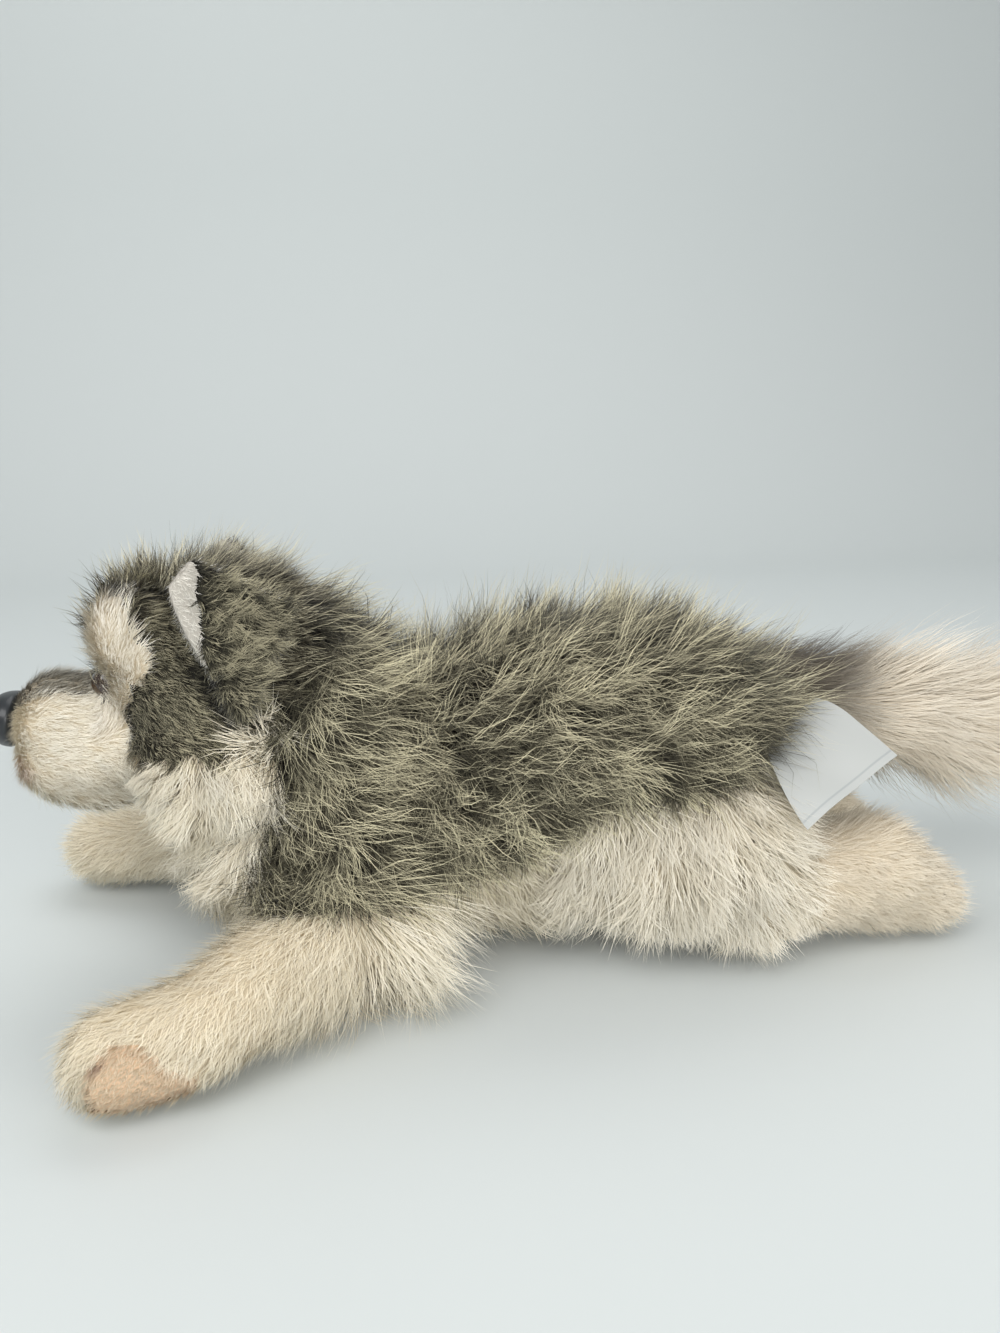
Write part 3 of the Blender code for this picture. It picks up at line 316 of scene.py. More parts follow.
def tail_axis(share):
    """A point on the tail's middle line, from its root at 0 to its tip at 1."""
    drop = TAIL_DROP * math.sin(min(1, share * 1.3) * math.pi / 2)
    return TAIL_ROOT + Vector((TAIL_LENGTH * share, 0, -drop))


def tail_forms(body):
    steps = 24
    for i in range(steps):
        share = i / (steps - 1)
        size = (9 + 3 * math.sin(math.pi * share)) * MM
        add_ellipsoid(body, tail_axis(-0.06 + share * 0.8), (size, size * 0.8, size))


def evaluated(obj):
    """A new mesh of the object with its modifiers applied."""
    bpy.context.view_layer.update()
    graph = bpy.context.evaluated_depsgraph_get()
    return bpy.data.meshes.new_from_object(obj.evaluated_get(graph), depsgraph=graph)


def placed(name, mesh):
    obj = bpy.data.objects.new(name, mesh)
    SCENE.collection.objects.link(obj)
    return obj


def stuffed(name, fill, floor):
    """One closed smooth mesh of the joined forms."""
    body = bmesh.new()
    fill(body)
    mesh = bpy.data.meshes.new(name)
    body.to_mesh(mesh)
    body.free()
    obj = placed(name, mesh)
    remesh = obj.modifiers.new("joined", "REMESH")
    remesh.mode = "VOXEL"
    remesh.voxel_size = VOXEL
    smooth = obj.modifiers.new("softened", "SMOOTH")
    smooth.factor = 0.5
    smooth.iterations = SOFTENING
    mesh = evaluated(obj)
    bpy.data.objects.remove(obj, do_unlink=True)
    spots = points_of(mesh)
    spots[:, 2] = np.maximum(spots[:, 2], floor)
    mesh.vertices.foreach_set("co", spots.ravel())
    mesh.update()
    return mesh


def points_of(mesh):
    spots = np.empty(len(mesh.vertices) * 3, dtype=np.float32)
    mesh.vertices.foreach_get("co", spots)
    return spots.reshape(-1, 3)


def normals_of(mesh):
    return np.array([v.normal for v in mesh.vertices], dtype=np.float32)


# How the pile of each sewn piece grows


class Pile:
    """The fur of one piece. length and width of a strand are in mm. root and tip are its lean
    from upright in degrees. tousle turns whole tufts, and spread turns single strands. clump
    draws strands together, tuft is a tuft's size in mm and curl bends the strands."""

    def __init__(self, nodes, slot, look, strands, length, width, root, tip, **more):
        self.nodes, self.slot, self.look = nodes, slot, look
        self.strands, self.length, self.width = strands, length, width
        self.root, self.tip = root, tip
        self.steps = more.get("steps", 2)
        self.tousle = more.get("tousle", 0.5)
        self.spread = more.get("spread", 0.5)
        self.clump = more.get("clump", 0.3)
        self.tuft = more.get("tuft", 5.0)
        self.curl = more.get("curl", 0.25)
        self.under = more.get("under", 0)
        self.under_look = more.get("under_look", "under")

    def undercoat(self):
        """The shorter and wider fur below the guard hairs."""
        return Pile(
            self.nodes, self.slot, self.under_look, self.under, self.length * 0.72, self.width * 1.15,
            self.root, self.tip, tousle=self.tousle, spread=1.2, clump=0.5, tuft=self.tuft, curl=0.5,
        )


def single(name, *details, **more):
    return {name: Pile([name], *details, **more)}


def both(base, *details, **more):
    return {**single(base + "_left", *details, **more), **single(base + "_right", *details, **more)}


# Kinds of pile: long guard hairs, short soft pile, locks that hang together, the wisps of the
# crown, the curlier locks of the ruff, the dense pile of the cheeks and the suede of the pads
LONG = {"steps": 3, "tousle": 2.0, "spread": 1.7, "clump": 0.55, "tuft": 6.0, "curl": 1.0}
SOFT = {"tousle": 0.6, "spread": 0.8, "clump": 0.2, "tuft": 3.5, "curl": 0.4}
LOCKS = {"steps": 3, "tousle": 0.9, "spread": 0.7, "clump": 0.75, "tuft": 8.0, "curl": 0.5}
CROWN = {**LONG, "tousle": 1.2, "spread": 1.3, "curl": 0.7, "clump": 0.4}
RUFF = {**LOCKS, "tuft": 6.5, "tousle": 1.3, "curl": 1.0}
VELVET = {"tousle": 0.4, "spread": 0.9, "tuft": 3.0, "clump": 0.2}
SUEDE = {"tousle": 0.4, "spread": 1.0, "tuft": 2.0}
PILES = {
    **both("coat", "grizzled_coat", "grizzled", 17500, 23, 0.23, 30, 72, **LONG, under=13000),
    **single(
        "crown", "grizzled_coat", "crown", 8500, 18, 0.21, 38, 70,
        **CROWN, under=7500, under_look="crown_low",
    ),
    **both("cheek", "cheek_pile", "cheek", 7000, 6.0, 0.19, 42, 74, **VELVET),
    **both("brow", "cream_pile", "brow", 4000, 5.0, 0.18, 42, 72, **SOFT),
    **single("muzzle_bridge", "cheek_pile", "bridge", 2600, 5.2, 0.24, 50, 78),
    **both("muzzle", "cream_pile", "muzzle", 6400, 6.0, 0.17, 44, 76, **SOFT),
    **single("chin", "cream_pile", "muzzle", 3400, 6.5, 0.26, 44, 76, **SOFT),
    **both("ruff", "cream_pile", "cream", 5400, 19, 0.28, 34, 70, **RUFF),
    **single("belly", "cream_pile", "belly", 6500, 14, 0.32, 44, 76, **LOCKS),
    "chest": Pile([], "cream_pile", "cream", 5000, 35, 0.26, 40, 72, **LOCKS),
    **both("thigh", "cream_pile", "thigh", 8600, 24, 0.28, 50, 80, **LOCKS),
    **both("front_leg", "cream_pile", "leg", 14500, 8.2, 0.17, 44, 76, **SOFT),
    **both("hind_leg", "cream_pile", "hind", 11500, 8.2, 0.17, 44, 76, **SOFT),
    **both("front_pad", "paw_suede", "pad", 2000, 1.8, 0.26, 58, 82, **SUEDE),
}
TAIL_PILE = Pile(
    ["tail"], "tail_pile", "tail", 15500, 31, 0.22, 38, 75,
    steps=3, tousle=0.7, spread=0.6, clump=0.45, tuft=9.0, curl=0.4,
)
EAR_PILE = Pile(
    ["ear"], "grizzled_coat", "ear", 4600, 8.0, 0.22, 40, 74,
    steps=3, tousle=2.4, spread=2.2, clump=0.35, tuft=4.0, curl=0.9,
)
LINING_PILE = Pile(
    ["ear_lining"], "ear_lining", "lining", 3000, 3.4, 0.18, 40, 74,
    tousle=0.6, spread=1.6, tuft=3.0,
)

FUR_INPUTS = {
    "Strand": "NodeSocketObject",
    "Material": "NodeSocketMaterial",
    "Density": "NodeSocketFloat",
    "Seed": "NodeSocketInt",
    "Length": "NodeSocketFloat",
    "Width": "NodeSocketFloat",
    "Root lean": "NodeSocketFloat",
    "Tip lean": "NodeSocketFloat",
    "Tousle": "NodeSocketFloat",
    "Spread": "NodeSocketFloat",
    "Clump": "NodeSocketFloat",
    "Tuft": "NodeSocketFloat",
    "Curl": "NodeSocketFloat",
}


def fur_tree():
    """Geometry Nodes that grow a tapered ribbon for each strand, combed along the mesh's comb
    attribute and as long as its depth attribute says."""
    tree = bpy.data.node_groups.new("fur", "GeometryNodeTree")
    tree.interface.new_socket("Geometry", in_out="INPUT", socket_type="NodeSocketGeometry")
    for name, kind in FUR_INPUTS.items():
        tree.interface.new_socket(name, in_out="INPUT", socket_type=kind)
    tree.interface.new_socket("Geometry", in_out="OUTPUT", socket_type="NodeSocketGeometry")
    g = Tree(tree)
    source = g.add("NodeGroupInput")
    given = {name: Term(g, source.outputs[name]) for name in FUR_INPUTS}

    def named(name, kind="FLOAT"):
        settings = {"data_type": kind}
        return g.term("GeometryNodeInputNamedAttribute", "Attribute", settings, {"Name": name})

    def stored(geometry, name, value, kind="FLOAT"):
        settings = {"data_type": kind, "domain": "POINT"}
        inputs = {"Geometry": geometry, "Name": name, "Value": value}
        return g.add("GeometryNodeStoreNamedAttribute", settings, inputs).outputs["Geometry"]

    scattered = g.add(
        "GeometryNodeDistributePointsOnFaces",
        {"distribute_method": "RANDOM"},
        {"Mesh": source.outputs["Geometry"], "Density": given["Density"], "Seed": given["Seed"]},
    )
    place = g.term("GeometryNodeInputPosition", "Position")
    points = stored(scattered.outputs["Points"], "root", place, "FLOAT_VECTOR")
    points = stored(points, "up", Term(g, scattered.outputs["Normal"]), "FLOAT_VECTOR")
    strand = g.add("GeometryNodeObjectInfo", None, {"Object": given["Strand"]})
    inputs = {"Points": points, "Instance": strand.outputs["Geometry"]}
    instances = g.add("GeometryNodeInstanceOnPoints", None, inputs).outputs["Instances"]
    fur = g.add("GeometryNodeRealizeInstances", None, {"Geometry": instances}).outputs["Geometry"]

    root, up = named("root", "FLOAT_VECTOR"), named("up", "FLOAT_VECTOR")
    along, side = named("along"), named("side")
    # Each strand has luck of its own, and the strands of a tuft share its mood
    chance = g.add("ShaderNodeTexWhiteNoise", {"noise_dimensions": "3D"}, {"Vector": root * 917.0})
    luck = g.add("ShaderNodeSeparateXYZ", None, {0: chance.outputs["Color"]})
    luck = [Term(g, socket) for socket in luck.outputs]
    shade = Term(g, chance.outputs["Value"])
    inputs = {"Vector": root / given["Tuft"], "Scale": 1.0}
    cells = g.add("ShaderNodeTexVoronoi", {"feature": "F1"}, inputs)
    middle = Term(g, cells.outputs["Position"]) * given["Tuft"]
    mood = g.add("ShaderNodeSeparateXYZ", None, {0: cells.outputs["Color"]})
    mood = [Term(g, socket) for socket in mood.outputs]

    def flat(vector):
        return vector - up * g.maths("DOT_PRODUCT", vector, up)

    # A strand is an arc along the comb, from the lean of its root to that of its tip
    comb = g.maths("NORMALIZE", flat(named("comb", "FLOAT_VECTOR")))
    across = g.maths("CROSS_PRODUCT", up, comb)
    swing = (mood[0] - 0.5) * given["Tousle"] + (luck[0] - 0.5) * given["Spread"]
    lie = comb * g.maths("COSINE", swing) + across * g.maths("SINE", swing)
    tilt = (mood[1] - 0.5) * given["Tousle"] * 0.5 + (luck[1] - 0.5) * given["Spread"] * 0.6
    start = given["Root lean"] + tilt
    bend = given["Tip lean"] - given["Root lean"]
    angle = start + bend * along
    rise = (g.maths("SINE", angle) - g.maths("SINE", start)) / bend
    sweep = (g.maths("COSINE", start) - g.maths("COSINE", angle)) / bend
    length = given["Length"] * named("depth") * (luck[2] * 0.45 + 0.62) * (mood[2] * 0.3 + 0.85)
    spot = root + (up * rise + lie * sweep) * length
    # Its tip draws to the middle of its tuft, and it waves and kinks
    drawn = along ** 1.5 * given["Clump"]
    spot = spot + flat(middle - root) * drawn
    inputs = {"Vector": root * 260.0 + up * (along * 1.6), "Scale": 1.0}
    wave = g.term("ShaderNodeTexNoise", "Color", {"noise_dimensions": "3D"}, inputs)
    spot = spot + (wave - (0.5, 0.5, 0.5)) * (length * along * given["Curl"])
    kink = Term(g, chance.outputs["Color"]) - (0.5, 0.5, 0.5)
    spot = spot + kink * (length * along * along * 0.36)
    # Its flat side faces outwards
    heading = up * g.maths("COSINE", angle) + lie * g.maths("SINE", angle)
    sideways = g.maths("NORMALIZE", g.maths("CROSS_PRODUCT", heading, up + kink * 0.6))
    spot = spot + sideways * (side * given["Width"] * (luck[1] * 0.6 + 0.7))
    # It stays above the floor
    parts = g.add("ShaderNodeSeparateXYZ", None, {0: spot})
    high = g.maths("MAXIMUM", Term(g, parts.outputs[2]), luck[0] * 1.2 * MM + 0.1 * MM)
    spot = g.term("ShaderNodeCombineXYZ", 0, None, {0: parts.outputs[0], 1: parts.outputs[1], 2: high})
    inputs = {"Geometry": fur, "Position": spot}
    fur = g.add("GeometryNodeSetPosition", None, inputs).outputs["Geometry"]
    fur = stored(fur, "shade", shade)
    fur = stored(fur, "mood", mood[2])
    inputs = {"Geometry": fur, "Material": given["Material"]}
    fur = g.add("GeometryNodeSetMaterial", None, inputs)
    sink = g.add("NodeGroupOutput")
    g.feed(sink.inputs["Geometry"], fur.outputs["Geometry"])
    return tree


FUR = fur_tree()


def ribbon(steps):
    """A flat strand of this many steps, which narrows to a point."""
    body = bmesh.new()
    rows = []
    for i in range(steps):
        share = i / steps
        wide = 0.5 * (1 - share ** 2) + 0.08
        rows.append([body.verts.new((-wide, 0, share)), body.verts.new((wide, 0, share))])
    top = body.verts.new((0, 0, 1))
    for lower, upper in zip(rows, rows[1:]):
        body.faces.new((lower[0], lower[1], upper[1], upper[0]))
    body.faces.new((rows[-1][0], rows[-1][1], top))
    mesh = bpy.data.meshes.new(f"ribbon_{steps}")
    body.to_mesh(mesh)
    body.free()
    spots = points_of(mesh)
    mesh.attributes.new("along", "FLOAT", "POINT").data.foreach_set("value", spots[:, 2].copy())
    mesh.attributes.new("side", "FLOAT", "POINT").data.foreach_set("value", spots[:, 0].copy())
    return placed(f"ribbon_{steps}", mesh)


RIBBONS = {steps: ribbon(steps) for steps in (2, 3)}


def named_values(mesh, name, width=1):
    held = mesh.attributes[name]
    values = np.empty(len(held.data) * width, dtype=np.float32)
    held.data.foreach_get("vector" if width == 3 else "value", values)
    return values.reshape(-1, width) if width > 1 else values


# The UV map of a fur: its cells across and up, and in each of them 4 by 4 shades
CELLS_ACROSS = 12
CELLS_UP = 8
SHADES = 4


def cell_map(mesh):
    """A UV map whose cells hold the strands of one place and one shade."""
    root = named_values(mesh, "root", 3)
    along, side, shade = (named_values(mesh, name) for name in ("along", "side", "shade"))
    low, high = root.min(axis=0), root.max(axis=0)
    share = (root - low) / np.maximum(high - low, 1e-6)
    level = np.minimum((shade * SHADES ** 2).astype(int), SHADES ** 2 - 1)
    column = np.minimum((share[:, 0] * CELLS_ACROSS).astype(int), CELLS_ACROSS - 1)
    row = np.minimum((share[:, 2] * CELLS_UP).astype(int), CELLS_UP - 1)
    u = (column * SHADES + level % SHADES + 0.2 + 0.5 * (side + 0.6)) / (CELLS_ACROSS * SHADES)
    v = (row * SHADES + level // SHADES + 0.12 + 0.76 * along) / (CELLS_UP * SHADES)
    corners = np.empty(len(mesh.loops), dtype=np.int32)
    mesh.loops.foreach_get("vertex_index", corners)
    layer = mesh.uv_layers.new(name="OFBake")
    places = np.stack([u[corners], v[corners]], axis=1)
    layer.data.foreach_set("uv", places.ravel().astype(np.float32))


def grow(name, patch, pile, seed, material):
    """The fur of one piece as a plain mesh object, on the faces of the patch."""
    field = placed(name + "_field", patch)
    area = sum(p.area for p in patch.polygons)
    modifier = field.modifiers.new("fur", "NODES")
    modifier.node_group = FUR
    values = {
        "Strand": RIBBONS[pile.steps],
        "Material": material,
        "Density": pile.strands / area,
        "Seed": seed,
        "Length": pile.length * MM,
        "Width": pile.width * MM,
        "Root lean": math.radians(pile.root),
        "Tip lean": math.radians(pile.tip),
        "Tousle": pile.tousle,
        "Spread": pile.spread,
        "Clump": pile.clump,
        "Tuft": pile.tuft * MM,
        "Curl": pile.curl,
    }
    for item in FUR.interface.items_tree:
        if item.in_out == "INPUT" and item.name in values:
            modifier[item.identifier] = values[item.name]
    mesh = evaluated(field)
    bpy.data.objects.remove(field, do_unlink=True)
    mesh.name = name
    cell_map(mesh)
    # Each strand shades like the skin below it, turned a little from tuft to tuft
    up = named_values(mesh, "up", 3)
    swing = np.sin(named_values(mesh, "mood") * 97.0)[:, None]
    turned = up + 0.25 * swing * np.roll(up, 1, axis=1)
    turned /= np.linalg.norm(turned, axis=1)[:, None]
    mesh.shade_smooth()
    mesh.normals_split_custom_set_from_vertices(turned.tolist())
    for spare in ("comb", "depth", "up", "side"):
        if spare in mesh.attributes:
            mesh.attributes.remove(mesh.attributes[spare])
    return placed(name, mesh)


# Materials


def new_material(name):
    made = bpy.data.materials.new(name)
    made.use_nodes = True
    g = Tree(made.node_tree)
    shader = made.node_tree.nodes["Principled BSDF"]
    return made, g, shader


def strand_terms(g):
    """Where a point lies along its strand, the strand's own shade, its tuft's and its root."""
    names = ("along", "shade", "mood")
    along, shade, mood = (g.term("ShaderNodeAttribute", "Fac", {"attribute_name": n}) for n in names)
    root = g.term("ShaderNodeAttribute", "Vector", {"attribute_name": "root"})
    return along, shade, mood, root


def broad(g, root, scale, shift=0.0):
    """Soft noise from 0 to 1 over the body, with features of this many metres."""
    inputs = {"Vector": root + (shift, shift, shift), "Scale": 1 / scale, "Detail": 2.0}
    return g.term("ShaderNodeTexNoise", "Fac", {"noise_dimensions": "3D"}, inputs)


def spot_mask(g, root, centre, radius, soft=0.5):
    """1 inside a round spot on the body and 0 outside, with a soft edge."""
    reach = g.maths("DISTANCE", root, tuple(v * MM for v in centre))
    return 1 - g.ease(reach, radius * MM * (1 - soft), radius * MM)


def fur_material(name, colours, spots=(), patch=0.25, spread=0.3):
    """colours are the strand's colour at its root, middle and tip; in the light piles the darker
    root is painted shade deep in the pile. spots are airbrushed places and places of painted
    shade, of (centre, radius, colour, strength). patch is how far the tips differ over the body,
    and spread how far the strands do."""
    made, g, shader = new_material(name)
    along, shade, mood, root = strand_terms(g)
    low, middle, tip = colours
    colour = g.blend(g.ease(along, 0.0, 0.6), low, middle)
    reach = along + (shade - 0.5) * 0.7 + (mood - 0.5) * patch
    reach = reach + (broad(g, root, 0.03) - 0.5) * patch * 2
    colour = g.blend(g.ease(reach, 0.45, 1.05), colour, tip)
    for centre, radius, tint, strength in spots:
        colour = g.blend(spot_mask(g, root, centre, radius) * strength, colour, tint)
    value = (shade - 0.5) * spread + (broad(g, root, 0.012, 3.0) - 0.5) * spread + 1.0
    g.feed(shader.inputs["Base Color"], colour * value)
    shader.inputs["Roughness"].default_value = 0.85
    shader.inputs["Specular IOR Level"].default_value = 0.25
    shader.inputs["Sheen Weight"].default_value = 0.15
    shader.inputs["Sheen Roughness"].default_value = 0.5
    return made


def shades(*pictured):
    """The linear colours of a strand's root, middle and tip."""
    return [from_srgb(*colour) for colour in pictured]


def mirrored(x, y, z, radius, tint, strength):
    """The same spot on both sides, in mm: airbrushing on the lips, painted shadow by the ears and
    painted shade in the crease.
    """
    return [((x, y * side, z), radius, tint, strength) for side in (-1, 1)]


# The light piles are a little darker and warmer at the root than at the tip: painted shade deep in the
# pile
CREAM = shades((228, 214, 186), (241, 231, 208), (249, 242, 224))
# The belly's pile is darker than the rest of the cream pile: painted shade on the underside of the body
SHADED_BELLY = shades((200, 187, 160), (214, 204, 180), (226, 217, 197))
THIGH = shades((218, 206, 181), (229, 220, 200), (240, 233, 217))
LEG = shades((236, 224, 198), (240, 229, 204), (248, 240, 220))
HIND = shades((224, 211, 188), (228, 216, 194), (234, 224, 205))
MUZZLE = shades((230, 220, 198), (242, 235, 217), (248, 243, 230))
BRIDGE = shades((96, 91, 80), (134, 128, 114), (196, 190, 174))
BROW = shades((218, 207, 184), (232, 224, 206), (240, 235, 223))
GRIZZLE = shades((34, 33, 28), (78, 74, 59), (208, 200, 168))
UNDERCOAT = shades((34, 33, 28), (56, 53, 44), (104, 98, 81))
CROWN_TOP = shades((34, 33, 28), (86, 80, 65), (214, 206, 176))
CROWN_LOW = shades((34, 33, 28), (74, 70, 57), (146, 139, 115))
EAR = shades((34, 33, 28), (66, 63, 51), (164, 157, 131))
LINING = shades((202, 197, 187), (219, 215, 205), (233, 229, 221))
FACE = shades((38, 36, 30), (70, 66, 53), (184, 176, 147))
TAIL = shades((216, 203, 181), (227, 215, 195), (236, 227, 211))
PAD = shades((196, 172, 142), (212, 190, 161), (224, 206, 180))
SHADOW = from_srgb(26, 25, 22)
BROWN = from_srgb(112, 84, 64)
UMBER = from_srgb(62, 54, 44)
WORN = from_srgb(112, 72, 68)
ROSE = from_srgb(190, 146, 130)

# Painted shadow in the fold in front of each ear, brown airbrushing and painted shade in the
# crease between brow and muzzle, the lips, the tail's dark root and a worn place on the pad
EAR_FOLD_SHADOWS = []
for x, z in ((-97, 113), (-92, 106), (-88, 98)):
    EAR_FOLD_SHADOWS += mirrored(x, 38, z, 9, SHADOW, 0.9)
# Brown airbrushing and painted shade in the crease between brow and muzzle, by the eye
CREASE_TINT_AND_SHADE = mirrored(-128, 22, 104, 7, BROWN, 0.7)
LIPS = mirrored(-154, 15, 78, 6, ROSE, 0.35)
BROW_CREASE_TINT_AND_SHADE = mirrored(-128, 23, 103, 6, BROWN, 0.6)
TAIL_SPOT = ((88, 0, 104), 52, UMBER, 0.92)
WORN_SPOT = ((-124, -94, 25), 5, WORN, 0.85)

LOOKS = {
    "grizzled": fur_material("grizzled_fur", GRIZZLE, EAR_FOLD_SHADOWS, patch=0.45, spread=0.5),
    "under": fur_material("undercoat", UNDERCOAT, EAR_FOLD_SHADOWS, patch=0.3),
    "crown": fur_material("crown_fur", CROWN_TOP, EAR_FOLD_SHADOWS, patch=0.4, spread=0.5),
    "crown_low": fur_material("crown_undercoat", CROWN_LOW, EAR_FOLD_SHADOWS),
    "ear": fur_material("ear_fur", EAR, EAR_FOLD_SHADOWS, patch=0.3, spread=0.5),
    "lining": fur_material("lining_fur", LINING),
    "cheek": fur_material("cheek_fur", FACE, EAR_FOLD_SHADOWS, patch=0.2, spread=0.5),
    "bridge": fur_material("bridge_fur", BRIDGE),
    "brow": fur_material("brow_fur", BROW, BROW_CREASE_TINT_AND_SHADE, spread=0.12),
    "muzzle": fur_material("muzzle_fur", MUZZLE, CREASE_TINT_AND_SHADE + LIPS, spread=0.12),
    "cream": fur_material("cream_fur", CREAM, spread=0.14),
    # painted shade: the belly's pile is darker as it lies in shade on the underside of the body
    "belly": fur_material("belly_fur", SHADED_BELLY, spread=0.14),
    "thigh": fur_material("thigh_fur", THIGH, spread=0.16),
    "leg": fur_material("leg_fur", LEG, spread=0.12),
    "hind": fur_material("hind_fur", HIND, spread=0.12),
    "tail": fur_material("tail_fur", TAIL, [TAIL_SPOT], spread=0.1),
    "pad": fur_material("pad_suede", PAD, [WORN_SPOT], spread=0.1),
}


def backing_material(name, colour):
    """Knitted cloth at the foot of the pile."""
    made, g, shader = new_material(name)
    place = g.term("ShaderNodeTexCoord", "Object")
    weave = g.term("ShaderNodeTexNoise", "Fac", None, {"Vector": place, "Scale": 900.0, "Detail": 1.0})
    tone = g.blend(weave, tuple(v * 0.75 for v in colour), colour)
    g.feed(shader.inputs["Base Color"], tone)
    shader.inputs["Roughness"].default_value = 1.0
    shader.inputs["Specular IOR Level"].default_value = 0.1
    return made


BACKING = {
    "dark": backing_material("dark_backing", from_srgb(40, 36, 30)),
    "cream": backing_material("cream_backing", from_srgb(226, 212, 186)),
    "peach": backing_material("suede_backing", from_srgb(238, 205, 170)),
    "lining": backing_material("lining_backing", from_srgb(196, 190, 180)),
}
DARK_PARTS = ("coat", "crown", "cheek")


# The stuffed skin, split among the sewn panels


def panel_finder(names):
    """A tree of the CAD panels' faces, and the panel that each face belongs to."""
    spots, faces, owners = [], [], []
    for number, name in enumerate(names):
        if name not in NODES:
            continue
        mesh = NODES[name].data
        base = len(spots)
        spots.extend(v.co.copy() for v in mesh.vertices)
        faces.extend([base + i for i in p.vertices] for p in mesh.polygons)
        owners.extend([number] * len(mesh.polygons))
    return BVHTree.FromPolygons(spots, faces), owners


def heading_on(panel, spot):
    """The way the pile is combed at this place."""
    side = -1 if spot.y < 0 else 1
    low = max(0, 1 - spot.z / (60 * MM))
    kind = panel.rsplit("_", 1)[0] if panel.endswith(("left", "right")) else panel
    if kind == "coat":
        fall = share_between(abs(spot.y), 0, 40)
        neck = share_between(-spot.x, 20, 55)
        return Vector((1 - 0.75 * neck * fall, side * 0.2, -0.2 - 0.7 * fall - 0.3 * neck))
    if kind == "crown":
        front = share_between(-spot.x, 98, 120)
        return Vector((1 - 1.2 * front, side * 0.2, -0.5 + 1.5 * front))
    if kind == "cheek":
        return Vector((0.8, side * 0.1, -0.7))
    if kind == "brow":
        return Vector((0.35, side * 0.4, 0.9))
    if kind in ("muzzle", "muzzle_bridge"):
        return Vector((1, side * 0.25, -0.25))
    if kind == "chin":
        return Vector((1, side * 0.3, -0.6))
    if kind == "ruff":
        back = share_between(spot.x, -98, -84) * share_between(spot.z, 72, 90)
        return Vector((-0.25 + 0.3 * back, side * 0.45, -1 + 1.5 * back))
    if kind in ("front_leg", "front_pad"):
        which = "left" if side < 0 else "right"
        reach = FEET[which] - SHOULDERS[which]
        return reach.normalized() + Vector((0, side * 0.2, -0.3))
    if kind == "hind_leg":
        return Vector((1, side * 0.1, -0.5))
    if kind == "thigh":
        fore = (spot.x - THIGH_CENTRE_X) / (THIGH_LENGTH / 2)
        return Vector((0.15 + 0.75 * fore, side * 0.3, -1))
    if kind == "chest":
        return Vector((0.9, side * 0.5, -1.1))
    if spot.x < -35 * MM:
        return Vector((0.35, side * 0.3, -1))
    return Vector((0.7, side * 0.2, -1 + low * 0.3))


def share_between(value, low, high):
    """0 at low and 1 at high, in mm, and between them in step with the value."""
    return max(0, min(1, (value / MM - low) / (high - low)))


def near_label(spot):
    """1 up to 16 mm from the label's middle and 0 from 34 mm on."""
    return 1 - share_between((spot - LABEL_SPOT).length, 16, 34)


def ear_gap(spot, ears):
    """How far this place of the head is from the nearer ear."""
    return ears.find_nearest(Vector((spot.x, abs(spot.y), spot.z)))[3]


def depth_on(panel, spot, ears):
    """The pile's length at this place, in shares of its piece's length. It is short near the
    ears, eyes, nose and floor, and long where it hides the roots of the legs and the label."""
    if panel == "belly":
        return 0.4 + 0.6 * share_between(spot.z, 2, 20)
    if panel == "chest":
        return 0.5 + 0.5 * share_between(spot.z, 4, 18) * share_between(abs(spot.y), 18, 32)
    if panel.startswith("thigh"):
        back = 1 - 0.55 * share_between(spot.x, 78, 100)
        return (0.3 + 0.7 * share_between(spot.z, 6, 36)) * max(back, near_label(spot))
    if panel.startswith("front_leg"):
        return 1 + 1.6 * share_between(spot.x, -82 if spot.y < 0 else -96, -60)
    if panel == "crown":
        clear = 0.28 + 0.72 * share_between(ear_gap(spot, ears), 7, 20)
        front = share_between(-spot.x, 96, 114) * (0.6 + 0.4 * share_between(abs(spot.y), 12, 24))
        return clear * (1 - 0.36 * front)
    if panel.startswith("ruff"):
        top = share_between(spot.x, -100, -86) * share_between(spot.z, 70, 88)
        return (0.4 + 0.6 * share_between(spot.x, -116, -94)) * (1 - 0.25 * top)
    if panel.startswith("coat"):
        return (0.5 + 0.5 * share_between(ear_gap(spot, ears), 6, 14)) * (1 + 0.5 * near_label(spot))
    if panel.startswith(("muzzle", "brow", "chin")):
        nose = share_between((spot - NOSE_SPOT).length, 8, 13)
        eye = share_between(min((spot - eye).length for eye in EYE_SPOTS.values()), 2, 6)
        return (0.35 + 0.65 * nose) * (0.3 + 0.7 * eye)
    return 1


def spread_values(mesh, values, rounds):
    """Averages values between neighbours, to soften the borders between panels."""
    ends = np.empty(len(mesh.edges) * 2, dtype=np.int32)
    mesh.edges.foreach_get("vertices", ends)
    first, second = ends.reshape(-1, 2).T
    count = np.bincount(ends, minlength=len(mesh.vertices)).astype(np.float32)
    for _ in range(rounds):
        total = np.zeros_like(values)
        np.add.at(total, first, values[second])
        np.add.at(total, second, values[first])
        values = 0.4 * values + 0.6 * total / count[:, None]
    return values


def asked_place(spot, normal):
    """Where to look for the CAD panel of this place on the skin. The borders of the face's
    panels come forwards and down, and those of the front feet back and up, as in the photo."""
    asked = Vector(spot) + Vector(normal) * 2 * MM
    if spot[2] > JAW_Z and spot[0] < FACE_X:
        asked.x += (4 + 6 * share_between(-spot[2], -104, -86)) * MM
        asked.z += 9 * MM * share_between(spot[2], 108, 122)
    if spot[2] < PAW_Z and spot[0] < PAW_X:
        asked += PAW_SHIFT
    return asked


